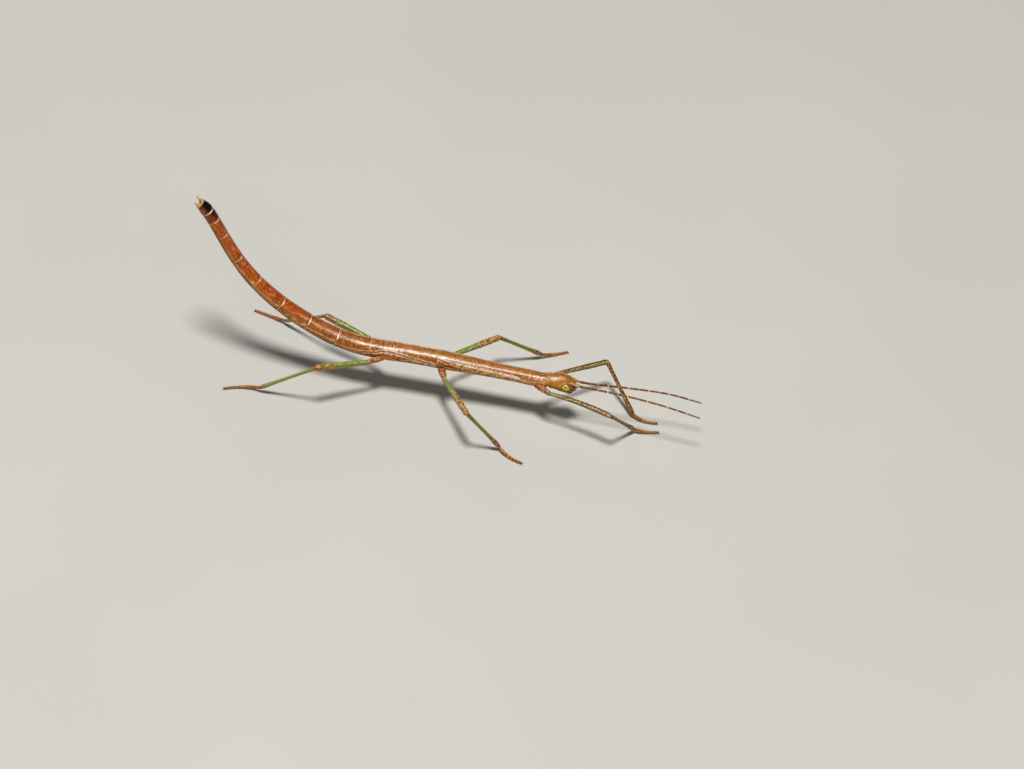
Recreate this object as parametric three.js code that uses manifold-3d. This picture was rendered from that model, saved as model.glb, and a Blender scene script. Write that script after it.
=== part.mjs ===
// A slender, wingless stick insect, life size, standing on six feet with its abdomen raised.
// Millimetres. +X points out of the head, +Y to the insect's left, +Z up, and the feet stand on z = 0.
// The body is one smooth shape parted into its named sub-parts by thin cuts.
import * as THREE from "three";
import { mergeVertices } from "three/addons/utils/BufferGeometryUtils.js";
import Module from "manifold-3d";

const wasm = await Module();
wasm.setup();

// ---------------------------------------------------------------- driving dimensions

const CUT = 0.05; // width of the thin cuts between sub-parts
const CLEARANCE = 0.03; // gap where one sub-part is let into another
const TRUNK_SIDES = 16;
const HEAD_SIDES = 20;
const LIMB_SIDES = 10;
const FEELER_SIDES = 8;
const LIMB_RADIUS = 0.25; // thinnest limb or feeler of the solids
const FLATNESS = 0.95; // half-height of the trunk over its mean radius
const BREADTH = 1.05; // half-width of the trunk over its mean radius
const KEEL_RISE = 0.05; // how far the side keel stands out, as a share of the radius
const BELLY_FLATNESS = 0.96; // the underside is a little flatter than the back

// The trunk, from the head backwards: length of each segment along the body axis, and the axis's
// pitch and the mean radius at the segment's rear end. A positive pitch rises towards the tail.
const NECK = { x: 12.06, z: 7.02, pitch: -6.5, radius: 0.88 };
const TRUNK = [
  { name: "prothorax", length: 2.52, pitch: 2, radius: 1.03, swell: 0.02 },
  { name: "mesothorax", length: 11.86, pitch: 1, radius: 1.26, swell: -0.08 },
  { name: "metathorax", length: 5.5, pitch: -2.5, radius: 1.27, swell: -0.02 },
  { name: "median_segment", length: 3.4, pitch: 1, radius: 1.27, swell: 0.01 },
  { name: "abdomen_02", length: 4.57, pitch: 18.2, radius: 1.23, swell: 0.02 },
  { name: "abdomen_03", length: 4.3, pitch: 29.2, radius: 1.14, swell: 0.01 },
  { name: "abdomen_04", length: 4.4, pitch: 36.9, radius: 1.06, swell: 0.01 },
  { name: "abdomen_05", length: 4.55, pitch: 47.5, radius: 0.985, swell: 0.01 },
  { name: "abdomen_06", length: 4.3, pitch: 57.9, radius: 0.905, swell: 0.01 },
  { name: "abdomen_07", length: 4, pitch: 62.4, radius: 0.855, swell: 0.01 },
  { name: "abdomen_08", length: 2.5, pitch: 60.5, radius: 0.845, swell: 0.01 },
  { name: "abdomen_09", length: 1.55, pitch: 54.2, radius: 0.86, swell: 0.02 },
  { name: "abdomen_10", length: 1.35, pitch: 38, radius: 0.68, swell: 0.05 },
];
const SEGMENT_STEPS = { mesothorax: 9, metathorax: 4, default: 3 };

// The head: distance forward of the neck, half-width, rise of the crown over the middle, depth of
// the cheeks and throat under it, and drop of the middle itself.
const HEAD_PITCH = 6; // the head is carried a little up from the neck
const HEAD = [
  { at: 0.0, width: 0.84, rise: 0.8, depth: 0.82, drop: 0.0 },
  { at: 0.22, width: 0.97, rise: 0.94, depth: 0.92, drop: 0.0 },
  { at: 0.6, width: 1.07, rise: 1.1, depth: 0.95, drop: 0.0 },
  { at: 1.1, width: 1.12, rise: 1.2, depth: 1.06, drop: 0.01 },
  { at: 1.6, width: 1.16, rise: 1.26, depth: 1.24, drop: 0.05 },
  { at: 2.1, width: 1.13, rise: 1.22, depth: 1.36, drop: 0.13 },
  { at: 2.6, width: 1.02, rise: 1.08, depth: 1.3, drop: 0.25 },
  { at: 3.05, width: 0.82, rise: 0.87, depth: 1.05, drop: 0.4 },
  { at: 3.4, width: 0.58, rise: 0.65, depth: 0.75, drop: 0.55 },
  { at: 3.65, width: 0.32, rise: 0.4, depth: 0.42, drop: 0.68 },
];
const EYE = { x: 14.43, y: 0.96, z: 7.12, length: 1.12, depth: 0.76, height: 0.94 };
const MOUTH = { x: 14.85, z: 6.2, length: 1.6, width: 1.15, height: 1.05, pitch: -28 };

// The feelers: a stout scape set in the front of the head, then a long thin flagellum.
const SCAPE = { length: 1.4, baseRadius: 0.32, tipRadius: 0.25 };
const FEELER_ROUTES = {
  left: [
    [14.9, 0.42, 7.62],
    [16.1, 0.6, 7.12],
    [17.3, 0.7, 7.02],
    [22.3, 1.2, 7.0],
    [27.5, 1.6, 6.85],
    [31.7, 1.65, 6.3],
  ],
  right: [
    [14.9, -0.42, 7.62],
    [16.4, -0.48, 7.33],
    [17.6, -0.46, 7.3],
    [22.4, -0.55, 7.2],
    [27.5, -0.95, 7.0],
    [31.9, -1.15, 6.3],
  ],
};
const FLAGELLUM_STEPS = 15;

// The legs: where each pair grows from the thorax, the lengths along the leg, and the radii of
// the femur (girth) and of the tibia (shin).
const LEG_PAIRS = {
  front: {
    rootX: 10.4, baseX: 10.9, coxa: 1.64, femur: 8.57,
    tibia: 7.45, tarsus: 3.15, girth: 0.33, shin: 0.27,
  },
  middle: {
    rootX: -1.9, baseX: -1.6, coxa: 1.6, femur: 7.5,
    tibia: 7.9, tarsus: 3.55, girth: 0.39, shin: 0.265,
  },
  hind: {
    rootX: -9.1, baseX: -9.5, coxa: 1.8, femur: 7.2,
    tibia: 9.9, tarsus: 4.35, girth: 0.42, shin: 0.25,
  },
};
const COXA_ROOT = { y: 0.55, z: 6.6 }; // inside the thorax wall
const COXA_BASE = { y: 1.08, z: 6.35 }; // where the coxa leaves the thorax
const COXA_RADIUS = { root: 0.52, middle: 0.5, end: 0.34 };
// Heading and rise of the coxa and of the femur, and headings of the tibia and the tarsus, in
// degrees from straight ahead towards the left. The tibia comes down to the ankle's height, and
// the tarsus bends to the floor. Bows are in millimetres to the left of a length's own heading.
const LEGS = [
  {
    pair: "front", side: "left", coxa: [29.2, -3.1], femur: [40.7, -8.3],
    tibia: -43.8, tarsus: -8.4, bows: [0, -0.5],
  },
  {
    pair: "front", side: "right", coxa: [-17.5, -4.2], femur: [-14.4, 0.4],
    tibia: 55, tarsus: 12.6, bows: [0.55, -0.2],
  },
  {
    pair: "middle", side: "left", coxa: [60.7, -14.1], femur: [45.5, -3.6],
    tibia: 30.4, tarsus: 31, bows: [0, 0],
  },
  {
    pair: "middle", side: "right", coxa: [-63.4, -12], femur: [-58.5, 8.7],
    tibia: 20.8, tarsus: -28.3, bows: [0, -0.45],
  },
  {
    pair: "hind", side: "left", coxa: [147, -2.7], femur: [163.8, 8.1],
    tibia: 142.9, tarsus: 160.6, bows: [0, -0.25],
  },
  {
    pair: "hind", side: "right", coxa: [-152.3, -4.3], femur: [-147.3, 8.8],
    tibia: 170.7, tarsus: -172.4, bows: [0, -0.8],
  },
];
const FEMUR_SWELLING = [0.84, 0.86, 0.95, 1.08, 1.15, 1.08, 0.88]; // girth along the femur
const TIBIA_SWELLING = [1.08, 1, 1, 1.04, 1.16]; // shin along the tibia
const TARSUS_STEPS = 10;
const ANKLE_HEIGHT = 0.8;
const TOE_HEIGHT = 0.22; // under the limb's radius, so that the sole is a small flat
const TARSUS_BEND = 0.4; // share of the tarsus by which it has come down to the floor
// Share of the tarsus at the end of each of its five pieces.
const TARSOMERE_ENDS = [0.42, 0.6, 0.73, 0.83, 1];
const PAD = { length: 0.45, width: 0.52, height: 0.52 }; // claws and the pad between them, as one solid
const CERCUS = { length: 0.8, radius: 0.25, apart: 0.45, splay: 0.25 };

// ---------------------------------------------------------------- colours

const COLOURS = {
  thorax: 0x9a5536,
  abdomen: 0x8a3c1e,
  tail: 0x3a1a12,
  head: 0xa8673f,
  eye: 0xb9a032,
  mouth: 0x8a7030,
  feeler: 0x7a4a2c,
  coxa: 0x8f4d2c,
  femur: 0x7d8a4a,
  tibia: 0x7f7a48,
  tarsus: 0x9a6a35,
  claw: 0x4a3020,
};

function cuticle(colour, roughness = 0.42) {
  return new THREE.MeshStandardMaterial({ color: colour, roughness, metalness: 0 });
}

// ---------------------------------------------------------------- shape tools

const radians = THREE.MathUtils.degToRad;

/** A level heading and a rise, both in degrees, as a direction. */
function heading(azimuth, rise) {
  const level = Math.cos(radians(rise));
  return new THREE.Vector3(
    level * Math.cos(radians(azimuth)),
    level * Math.sin(radians(azimuth)),
    Math.sin(radians(rise)),
  );
}

/** One cross-section: a middle, the directions of its width and height, and a rim of unit points. */
function section(middle, across, up, halfWidth, halfHeight, rim) {
  return rim.map(([y, z]) =>
    middle
      .clone()
      .addScaledVector(across, y * halfWidth)
      .addScaledVector(up, z * halfHeight),
  );
}

/** A round rim of unit points, counted anticlockwise, with a corner or else a flat undermost. */
function roundRim(sides, flatUnder = false) {
  return Array.from({ length: sides }, (_, i) => {
    const turn = (2 * Math.PI * (i + (flatUnder ? 0.5 : 0))) / sides;
    return [Math.cos(turn), Math.sin(turn)];
  });
}

/** The trunk's rim: a rounded back, a flatter belly and a low keel along each side. */
function trunkRim(sides) {
  return roundRim(sides).map(([y, z], i) => {
    const onKeel = i === sides - 1 || i === sides / 2 + 1;
    const out = onKeel ? 1 + KEEL_RISE : 1;
    return [y * out, (z < 0 ? BELLY_FLATNESS : 1) * z * out];
  });
}

/** Closes a row of equal cross-sections, in order along the tube, into one solid. */
function loft(rings) {
  const sides = rings[0].length;
  const positions = [];
  const faces = [];
  rings.forEach((ring) => ring.forEach((point) => positions.push(point.x, point.y, point.z)));
  for (let r = 0; r + 1 < rings.length; r++) {
    for (let i = 0; i < sides; i++) {
      const next = (i + 1) % sides;
      const a = r * sides + i;
      const b = r * sides + next;
      faces.push(a, b, a + sides, b, b + sides, a + sides);
    }
  }
  [0, rings.length - 1].forEach((r) => {
    const middle = rings[r].reduce((sum, point) => sum.add(point), new THREE.Vector3());
    middle.divideScalar(sides);
    const hub = positions.length / 3;
    positions.push(middle.x, middle.y, middle.z);
    for (let i = 0; i < sides; i++) {
      const a = r * sides + i;
      const b = r * sides + ((i + 1) % sides);
      faces.push(...(r === 0 ? [hub, b, a] : [hub, a, b]));
    }
  });
  const geometry = new THREE.BufferGeometry();
  geometry.setAttribute("position", new THREE.Float32BufferAttribute(positions, 3));
  geometry.setIndex(faces);
  return facingOut(geometry);
}

/** Turns the faces round if they point inwards. */
function facingOut(geometry) {
  const corners = geometry.attributes.position;
  const order = geometry.index.array;
  const [a, b, c] = [new THREE.Vector3(), new THREE.Vector3(), new THREE.Vector3()];
  let volume = 0;
  for (let i = 0; i < order.length; i += 3) {
    a.fromBufferAttribute(corners, order[i]);
    b.fromBufferAttribute(corners, order[i + 1]);
    c.fromBufferAttribute(corners, order[i + 2]);
    volume += a.dot(b.cross(c));
  }
  if (volume < 0) {
    for (let i = 0; i < order.length; i += 3) {
      [order[i + 1], order[i + 2]] = [order[i + 2], order[i + 1]];
    }
  }
  return geometry;
}

/** A round tube through middles with a radius at each, with its end faces square to given directions. */
function limb(middles, radii, dorsal, sides, startFacing, endFacing) {
  const rim = roundRim(sides, true);
  const last = middles.length - 1;
  const rings = middles.map((middle, i) => {
    const along = middles[Math.min(i + 1, last)].clone().sub(middles[Math.max(i - 1, 0)]).normalize();
    const across = new THREE.Vector3().crossVectors(dorsal, along).normalize();
    const up = new THREE.Vector3().crossVectors(along, across);
    const ring = section(middle, across, up, radii[i], radii[i], rim);
    const facing = i === 0 ? startFacing : i === last ? endFacing : null;
    if (facing) ring.forEach((point) => slideOnto(point, along, middle, facing));
    return ring;
  });
  return loft(rings);
}

/** Moves a point along a direction until it lies on the plane through a place with that normal. */
function slideOnto(point, along, place, normal) {
  const short = place.clone().sub(point).dot(normal);
  point.addScaledVector(along, short / along.dot(normal));
}

function ellipsoid(x, y, z, length, width, height, pitch = 0, columns = 14, rows = 10) {
  const geometry = new THREE.SphereGeometry(0.5, columns, rows);
  geometry.scale(length, width, height);
  geometry.rotateY(-radians(pitch));
  geometry.translate(x, y, z);
  return geometry;
}

/** A closed geometry as a solid that can be cut. */
function solid(geometry) {
  const bare = new THREE.BufferGeometry();
  bare.setAttribute("position", geometry.getAttribute("position"));
  bare.setIndex(geometry.getIndex());
  const merged = mergeVertices(bare, 1e-5);
  const mesh = new wasm.Mesh({
    numProp: 3,
    vertProperties: merged.attributes.position.array,
    triVerts: new Uint32Array(merged.index.array),
  });
  return new wasm.Manifold(mesh);
}

/** A cut solid as a geometry again. */
function geometryOf(body) {
  const mesh = body.getMesh();
  const geometry = new THREE.BufferGeometry();
  geometry.setAttribute("position", new THREE.BufferAttribute(mesh.vertProperties, 3));
  geometry.setIndex(new THREE.BufferAttribute(mesh.triVerts, 1));
  return geometry;
}

/** The geometry with each of the other geometries cut away from it, as its largest piece. */
function cutBy(geometry, tools) {
  const body = tools.reduce((left, tool) => left.subtract(solid(tool)), solid(geometry));
  const pieces = body.decompose().sort((a, b) => b.volume() - a.volume());
  return geometryOf(pieces[0]);
}

const insect = new THREE.Group();

function addPart(name, geometry, colour, roughness) {
  const mesh = new THREE.Mesh(geometry, cuticle(colour, roughness));
  mesh.name = name;
  insect.add(mesh);
  return mesh;
}

// ---------------------------------------------------------------- trunk

/** A point of the body axis, with the direction that runs towards the tail and the mean radius. */
function axisPoint(x, z, pitch, radius) {
  return { x, z, pitch, radius };
}

/** Follows the body axis backwards through one segment, bending evenly to its rear pitch. */
function followSegment(start, segment, steps) {
  const points = [start];
  for (let i = 1; i <= steps; i++) {
    const share = i / steps;
    const before = points[i - 1];
    const pitch = THREE.MathUtils.lerp(start.pitch, segment.pitch, share);
    const mean = radians((before.pitch + pitch) / 2);
    const step = segment.length / steps;
    const plain = THREE.MathUtils.lerp(start.radius, segment.radius, THREE.MathUtils.smoothstep(share, 0, 1));
    const swollen = plain + segment.swell * Math.sin(Math.PI * share);
    const x = before.x - step * Math.cos(mean);
    const z = before.z + step * Math.sin(mean);
    points.push(axisPoint(x, z, pitch, swollen));
  }
  return points;
}

/** The trunk's cross-section at a point of the axis, moved along the axis by an offset. */
function trunkSection(point, offset = 0, grow = 0) {
  const back = new THREE.Vector3(-Math.cos(radians(point.pitch)), 0, Math.sin(radians(point.pitch)));
  const across = new THREE.Vector3(0, 1, 0);
  const up = new THREE.Vector3(Math.sin(radians(point.pitch)), 0, Math.cos(radians(point.pitch)));
  const middle = new THREE.Vector3(point.x, 0, point.z).addScaledVector(back, offset);
  const halfWidth = point.radius * BREADTH + grow;
  const halfHeight = point.radius * FLATNESS + grow;
  return section(middle, across, up, halfWidth, halfHeight, trunkRim(TRUNK_SIDES));
}

const trunkAxis = [];
let segmentStart = axisPoint(NECK.x, NECK.z, NECK.pitch, NECK.radius);
for (const segment of TRUNK) {
  const steps = SEGMENT_STEPS[segment.name] ?? SEGMENT_STEPS.default;
  const points = followSegment(segmentStart, segment, steps);
  const offsetAt = (i) => (i === 0 ? CUT / 2 : i === steps ? -CUT / 2 : 0);
  const isTail = segment.name === "abdomen_10";
  const isDark = isTail || segment.name === "abdomen_09";
  const plain = segment.name.startsWith("abdomen") ? COLOURS.abdomen : COLOURS.thorax;
  const rings = points.map((point, i) => trunkSection(point, offsetAt(i)));
  addPart(segment.name, loft(rings), isDark ? COLOURS.tail : plain);
  trunkAxis.push(...points.slice(trunkAxis.length ? 1 : 0));
  segmentStart = points[steps];
}
const tailEnd = segmentStart;
// The thorax again, a clearance larger, to cut the legs' roots to its surface.
const thoraxLength = SEGMENT_STEPS.default * 2 + SEGMENT_STEPS.mesothorax + SEGMENT_STEPS.metathorax + 2;
const thoraxTool = loft(trunkAxis.slice(0, thoraxLength).map((point) => trunkSection(point, 0, CLEARANCE)));

// ---------------------------------------------------------------- tail appendages

for (const [side, sign] of [["left", 1], ["right", -1]]) {
  const back = heading(180, tailEnd.pitch);
  const dorsal = heading(0, 90 - tailEnd.pitch);
  const base = new THREE.Vector3(tailEnd.x, sign * CERCUS.apart, tailEnd.z)
    .addScaledVector(back, CUT / 2);
  const tip = base.clone().addScaledVector(back, CERCUS.length);
  tip.y += sign * CERCUS.splay;
  const middle = base.clone().lerp(tip, 0.5);
  const radii = [CERCUS.radius, CERCUS.radius, CERCUS.radius * 0.5];
  const geometry = limb([base, middle, tip], radii, dorsal, FEELER_SIDES, back, back);
  addPart(`cercus_${side}`, geometry, COLOURS.feeler);
}

// ---------------------------------------------------------------- head, eyes and mouthparts

/** The head's cross-sections, from the neck forward, each grown by a margin. */
function headRings(grow, from) {
  const forward = heading(0, HEAD_PITCH);
  const up = heading(180, 90 - HEAD_PITCH);
  const across = new THREE.Vector3(0, 1, 0);
  return HEAD.map(({ at, width, rise, depth, drop }) => {
    const middle = new THREE.Vector3(NECK.x, 0, NECK.z)
      .addScaledVector(forward, Math.max(at, from))
      .addScaledVector(up, -drop);
    const deep = (depth + grow) / (rise + grow);
    const rim = roundRim(HEAD_SIDES).map(([y, z]) => [y, z < 0 ? z * deep : z]);
    return section(middle, across, up, width + grow, rise + grow, rim);
  });
}

const headTool = loft(headRings(CLEARANCE, -CLEARANCE));
const eyes = [["left", 1], ["right", -1]].map(([side, sign]) => ({
  name: `eye_${side}`,
  make: (grow) =>
    ellipsoid(EYE.x, sign * EYE.y, EYE.z, EYE.length + grow, EYE.depth + grow, EYE.height + grow),
}));
const headShape = loft(headRings(0, CUT / 2));
const sockets = eyes.map((eye) => eye.make(2 * CLEARANCE));
addPart("head", cutBy(headShape, sockets), COLOURS.head);
eyes.forEach((eye) => addPart(eye.name, eye.make(0), COLOURS.eye, 0.15));

const mouth = ellipsoid(MOUTH.x, 0, MOUTH.z, MOUTH.length, MOUTH.width, MOUTH.height, MOUTH.pitch);
addPart("mouthparts", cutBy(mouth, [headTool]), COLOURS.mouth);

// ---------------------------------------------------------------- feelers

for (const [side, route] of Object.entries(FEELER_ROUTES)) {
  const curve = new THREE.CatmullRomCurve3(route.map((place) => new THREE.Vector3(...place)));
  const split = SCAPE.length / curve.getLength();
  const cut = CUT / curve.getLength();
  const dorsal = new THREE.Vector3(0, 0, 1);
  const scapeMiddles = [0, 0.35, 0.7, 1].map((share) => curve.getPointAt(share * split));
  const { baseRadius, tipRadius } = SCAPE;
  const scapeRadii = [0.8 * baseRadius, baseRadius, baseRadius, tipRadius];
  const joint = curve.getTangentAt(split);
  const scape = limb(scapeMiddles, scapeRadii, dorsal, FEELER_SIDES, null, joint);
  addPart(`feeler_scape_${side}`, cutBy(scape, [headTool]), COLOURS.feeler);
  const flagellumMiddles = Array.from({ length: FLAGELLUM_STEPS + 1 }, (_, i) =>
    curve.getPointAt(THREE.MathUtils.lerp(split + cut, 1, i / FLAGELLUM_STEPS)),
  );
  const flagellumRadii = flagellumMiddles.map(() => LIMB_RADIUS);
  const flagellum = limb(flagellumMiddles, flagellumRadii, dorsal, FEELER_SIDES, joint, null);
  addPart(`feeler_flagellum_${side}`, flagellum, COLOURS.feeler);
}

// ---------------------------------------------------------------- legs

/** Points that part a length of leg evenly, a half cut in from each end. */
function evenly(curve, steps) {
  const inset = CUT / 2 / curve.getLength();
  return Array.from({ length: steps + 1 }, (_, i) =>
    curve.getPointAt(THREE.MathUtils.lerp(inset, 1 - inset, i / steps)),
  );
}

/** A length of leg from one joint to the next, pulled aside at a share of the way. */
function lengthOfLeg(from, to, azimuth, bow, share) {
  const pulled = from.clone().lerp(to, share).addScaledVector(heading(azimuth + 90, 0), bow);
  return new THREE.QuadraticBezierCurve3(from, pulled, to);
}

/** The direction half-way between two, which is square to the cut where two leg lengths meet. */
function between(a, b) {
  return a.clone().add(b).normalize();
}

/** Lowers no point under the floor, which leaves the sole a small flat. */
function flattenSole(geometry) {
  const points = geometry.attributes.position;
  for (let i = 0; i < points.count; i++) {
    points.setZ(i, Math.max(points.getZ(i), 0));
  }
  return geometry;
}

function tarsusRadius(share) {
  const piece = TARSOMERE_ENDS.findIndex((end) => share <= end + 1e-6);
  const start = piece === 0 ? 0 : TARSOMERE_ENDS[piece - 1];
  const within = (share - start) / (TARSOMERE_ENDS[piece] - start);
  return LIMB_RADIUS + 0.035 * within ** 2;
}

for (const leg of LEGS) {
  const pair = LEG_PAIRS[leg.pair];
  const sign = leg.side === "left" ? 1 : -1;
  const name = `leg_${leg.pair}_${leg.side}`;
  const up = new THREE.Vector3(0, 0, 1);
  const root = new THREE.Vector3(pair.rootX, sign * COXA_ROOT.y, COXA_ROOT.z);
  const base = new THREE.Vector3(pair.baseX, sign * COXA_BASE.y, COXA_BASE.z);
  const femurWay = heading(...leg.femur);
  const hip = base.clone().addScaledVector(heading(...leg.coxa), pair.coxa);
  const knee = hip.clone().addScaledVector(femurWay, pair.femur);
  const fall = THREE.MathUtils.radToDeg(Math.asin((ANKLE_HEIGHT - knee.z) / pair.tibia));
  const tibiaWay = heading(leg.tibia, fall);
  const ankle = knee.clone().addScaledVector(tibiaWay, pair.tibia);
  const level = THREE.MathUtils.radToDeg(Math.asin((TOE_HEIGHT - ANKLE_HEIGHT) / pair.tarsus));
  const toe = ankle.clone().addScaledVector(heading(leg.tarsus, level), pair.tarsus);
  const [femurBow, tarsusBow] = leg.bows;
  const coxaLine = new THREE.LineCurve3(root, hip);
  const femurLine = lengthOfLeg(hip, knee, leg.femur[0], femurBow, 0.5);
  const tibiaLine = new THREE.LineCurve3(knee, ankle);
  const tarsusLine = lengthOfLeg(ankle, toe, leg.tarsus, tarsusBow, TARSUS_BEND);
  tarsusLine.v1.z = TOE_HEIGHT;
  const hipCut = between(coxaLine.getTangent(1), femurLine.getTangent(0));
  const kneeCut = between(femurLine.getTangent(1), tibiaWay);
  const ankleCut = between(tibiaWay, tarsusLine.getTangent(0));
  const toeWay = tarsusLine.getTangent(1).setZ(0).normalize();

  const { root: rootRadius, middle: middleRadius, end: endRadius } = COXA_RADIUS;
  const coxaRadii = [rootRadius, rootRadius, middleRadius, endRadius, endRadius];
  const coxa = limb(evenly(coxaLine, 4), coxaRadii, up, LIMB_SIDES, null, hipCut);
  addPart(`${name}_coxa`, cutBy(coxa, [thoraxTool]), COLOURS.coxa);

  const femurRadii = FEMUR_SWELLING.map((share) => share * pair.girth);
  const femurMiddles = evenly(femurLine, femurRadii.length - 1);
  addPart(`${name}_femur`, limb(femurMiddles, femurRadii, up, LIMB_SIDES, hipCut, kneeCut), COLOURS.femur);

  const tibiaRadii = TIBIA_SWELLING.map((share) => share * pair.shin);
  const tibiaMiddles = evenly(tibiaLine, tibiaRadii.length - 1);
  const tibia = limb(tibiaMiddles, tibiaRadii, up, FEELER_SIDES, kneeCut, ankleCut);
  addPart(`${name}_tibia`, tibia, COLOURS.tibia);

  const tarsusMiddles = evenly(tarsusLine, TARSUS_STEPS);
  const tarsusRadii = tarsusMiddles.map((_, i) => tarsusRadius(i / TARSUS_STEPS));
  const tarsus = limb(tarsusMiddles, tarsusRadii, up, FEELER_SIDES, ankleCut, toeWay);
  addPart(`${name}_tarsus`, flattenSole(tarsus), COLOURS.tarsus);

  const padAcross = new THREE.Vector3().crossVectors(up, toeWay);
  const padRings = [0, 0.35, 0.75, 1].map((share) => {
    const middle = toe.clone().addScaledVector(toeWay, CUT / 2 + share * PAD.length);
    const width = (PAD.width / 2) * (0.8 + 0.8 * share * (1 - share));
    const height = (PAD.height / 2) * (1 - 0.15 * share ** 2);
    return section(middle, padAcross, up, width, height, roundRim(FEELER_SIDES, true));
  });
  addPart(`${name}_claws`, flattenSole(loft(padRings)), COLOURS.claw);
}

// ---------------------------------------------------------------- the part's own frame

// The origin is under the middle of the whole outline, on the floor.
const outline = new THREE.Box3().setFromObject(insect);
const middle = outline.getCenter(new THREE.Vector3());
insect.position.set(-middle.x, -middle.y, -outline.min.z);

export default insect;
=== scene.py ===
"""A slender, wingless stick insect, life size, standing on six feet with its abdomen raised.

The body is one skin over head, trunk, legs and feelers. Eyes, mouthparts and claws are pieces of
their own. Shapes are worked out in millimetres in the insect's own frame, with +X forward and the
floor at 0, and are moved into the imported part's frame and scaled at the end.
"""

import math

import bpy
import numpy as np
from mathutils import Matrix, Vector, kdtree, noise


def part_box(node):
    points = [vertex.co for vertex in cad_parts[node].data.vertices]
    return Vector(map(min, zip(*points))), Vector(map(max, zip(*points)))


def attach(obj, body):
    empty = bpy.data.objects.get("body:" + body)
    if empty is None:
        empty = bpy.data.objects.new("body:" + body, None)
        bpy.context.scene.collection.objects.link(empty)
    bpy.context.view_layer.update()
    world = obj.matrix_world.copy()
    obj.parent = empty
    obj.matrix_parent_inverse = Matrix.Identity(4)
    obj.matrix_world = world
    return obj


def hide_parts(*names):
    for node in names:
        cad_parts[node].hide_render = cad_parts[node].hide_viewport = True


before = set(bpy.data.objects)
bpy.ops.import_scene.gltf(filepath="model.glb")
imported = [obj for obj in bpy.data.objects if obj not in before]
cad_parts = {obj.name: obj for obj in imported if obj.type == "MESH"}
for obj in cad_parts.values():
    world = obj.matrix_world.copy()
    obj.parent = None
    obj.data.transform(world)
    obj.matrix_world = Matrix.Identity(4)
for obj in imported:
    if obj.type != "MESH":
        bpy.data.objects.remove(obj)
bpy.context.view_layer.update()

MM = 0.001  # metres in a millimetre

# ------------------------------------------------------------------ driving dimensions, millimetres

# The trunk from the head backwards: length along the axis, then the axis's pitch and the mean
# radius at the segment's rear end, and how much the middle swells.
NECK = {"x": 12.06, "z": 7.02, "pitch": -6.5, "radius": 0.88}
TRUNK = [
    ("prothorax", 2.52, 2.0, 1.03, 0.02),
    ("mesothorax", 11.86, 1.0, 1.26, -0.08),
    ("metathorax", 5.5, -2.5, 1.27, -0.02),
    ("median_segment", 3.4, 1.0, 1.27, 0.01),
    ("abdomen_02", 4.57, 18.2, 1.23, 0.02),
    ("abdomen_03", 4.3, 29.2, 1.14, 0.01),
    ("abdomen_04", 4.4, 36.9, 1.06, 0.01),
    ("abdomen_05", 4.55, 47.5, 0.985, 0.01),
    ("abdomen_06", 4.3, 57.9, 0.905, 0.01),
    ("abdomen_07", 4.0, 62.4, 0.855, 0.01),
    ("abdomen_08", 2.5, 60.5, 0.845, 0.01),
    ("abdomen_09", 1.55, 54.2, 0.86, 0.02),
    ("abdomen_10", 1.35, 38.0, 0.68, 0.05),
]
BREADTH, FLATNESS, BELLY = 1.035, 0.94, 0.96  # half-width and half-height over the mean radius
TRUNK_SIDES = 72
STATION = 0.1  # spacing of the trunk's cross-sections
ROUND = 1.2  # the thorax's radius, which turns degrees into millimetres round it
# The side margin of the back's plates: distance from the neck and degrees from the back. In each
# segment of the thorax it climbs backwards, and in the abdomen it falls.
MARGIN = [
    (0.0, 62), (2.45, 84), (2.6, 80), (5.0, 73), (7.0, 67), (9.0, 62), (11.0, 57), (13.2, 46),
    (14.3, 40), (14.5, 80), (15.2, 76), (17.0, 68), (18.0, 62), (19.0, 54), (19.9, 46), (21.5, 46),
    (22.4, 62), (23.4, 69), (24.3, 77), (25.5, 82), (27.0, 87), (27.85, 92), (27.95, 65), (28.5, 79),
    (30.5, 80), (32.15, 88), (32.25, 66), (32.9, 80), (34.5, 82), (36.55, 90), (36.65, 67), (37.3, 80),
    (39.0, 83), (41.1, 90), (41.2, 68), (41.8, 80), (43.5, 84), (45.4, 90), (60.0, 90),
]
# Two small knobs low on the neck, then the plates over the middle and hind coxae: distance from
# the neck, degrees, half-length, half-height and tilt.
PLATES = [
    (0.22, 88.0, 0.2, 0.2, 0.0),
    (1.0, 86.0, 0.24, 0.22, 0.0),
    (12.5, 106.0, 1.15, 0.4, -6.0),
    (20.8, 108.0, 1.5, 0.45, -4.0),
]
KNOBS = [plate[:2] for plate in PLATES[:2]]
KNOB_HEIGHT, KNOB_SPREAD = 0.09, 0.13
# Dark seams and pale streaks on the thorax's sides: two ends and a half-width.
SEAMS = [
    ((0.3, 7), (1.7, 9), 0.09), ((1.2, 76), (2.3, 85), 0.05), ((2.0, 38), (2.2, 50), 0.05),
    ((10.4, 89), (12.0, 85), 0.04), ((12.0, 85), (13.3, 80), 0.06), ((13.4, 82), (13.5, 112), 0.05),
    ((17.6, 81), (19.5, 87), 0.05), ((20.4, 76), (22.3, 92), 0.05), ((21.6, 42), (22.1, 61), 0.06),
    ((19.4, 52), (20.6, 60), 0.04), ((22.8, 88), (23.6, 96), 0.08), ((22.1, 61), (24.0, 76), 0.04),
]
STREAKS = [
    ((9.2, 94), (10.3, 102), 0.05), ((10.3, 102), (11.6, 118), 0.07), ((15.2, 112), (16.0, 106), 0.08),
    ((16.6, 97), (17.7, 92), 0.06), ((18.2, 92), (19.0, 95), 0.05), ((1.0, 68), (2.1, 76), 0.05),
    ((23.2, 86), (24.2, 96), 0.05), ((24.8, 100), (26.5, 104), 0.05),
]
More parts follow.
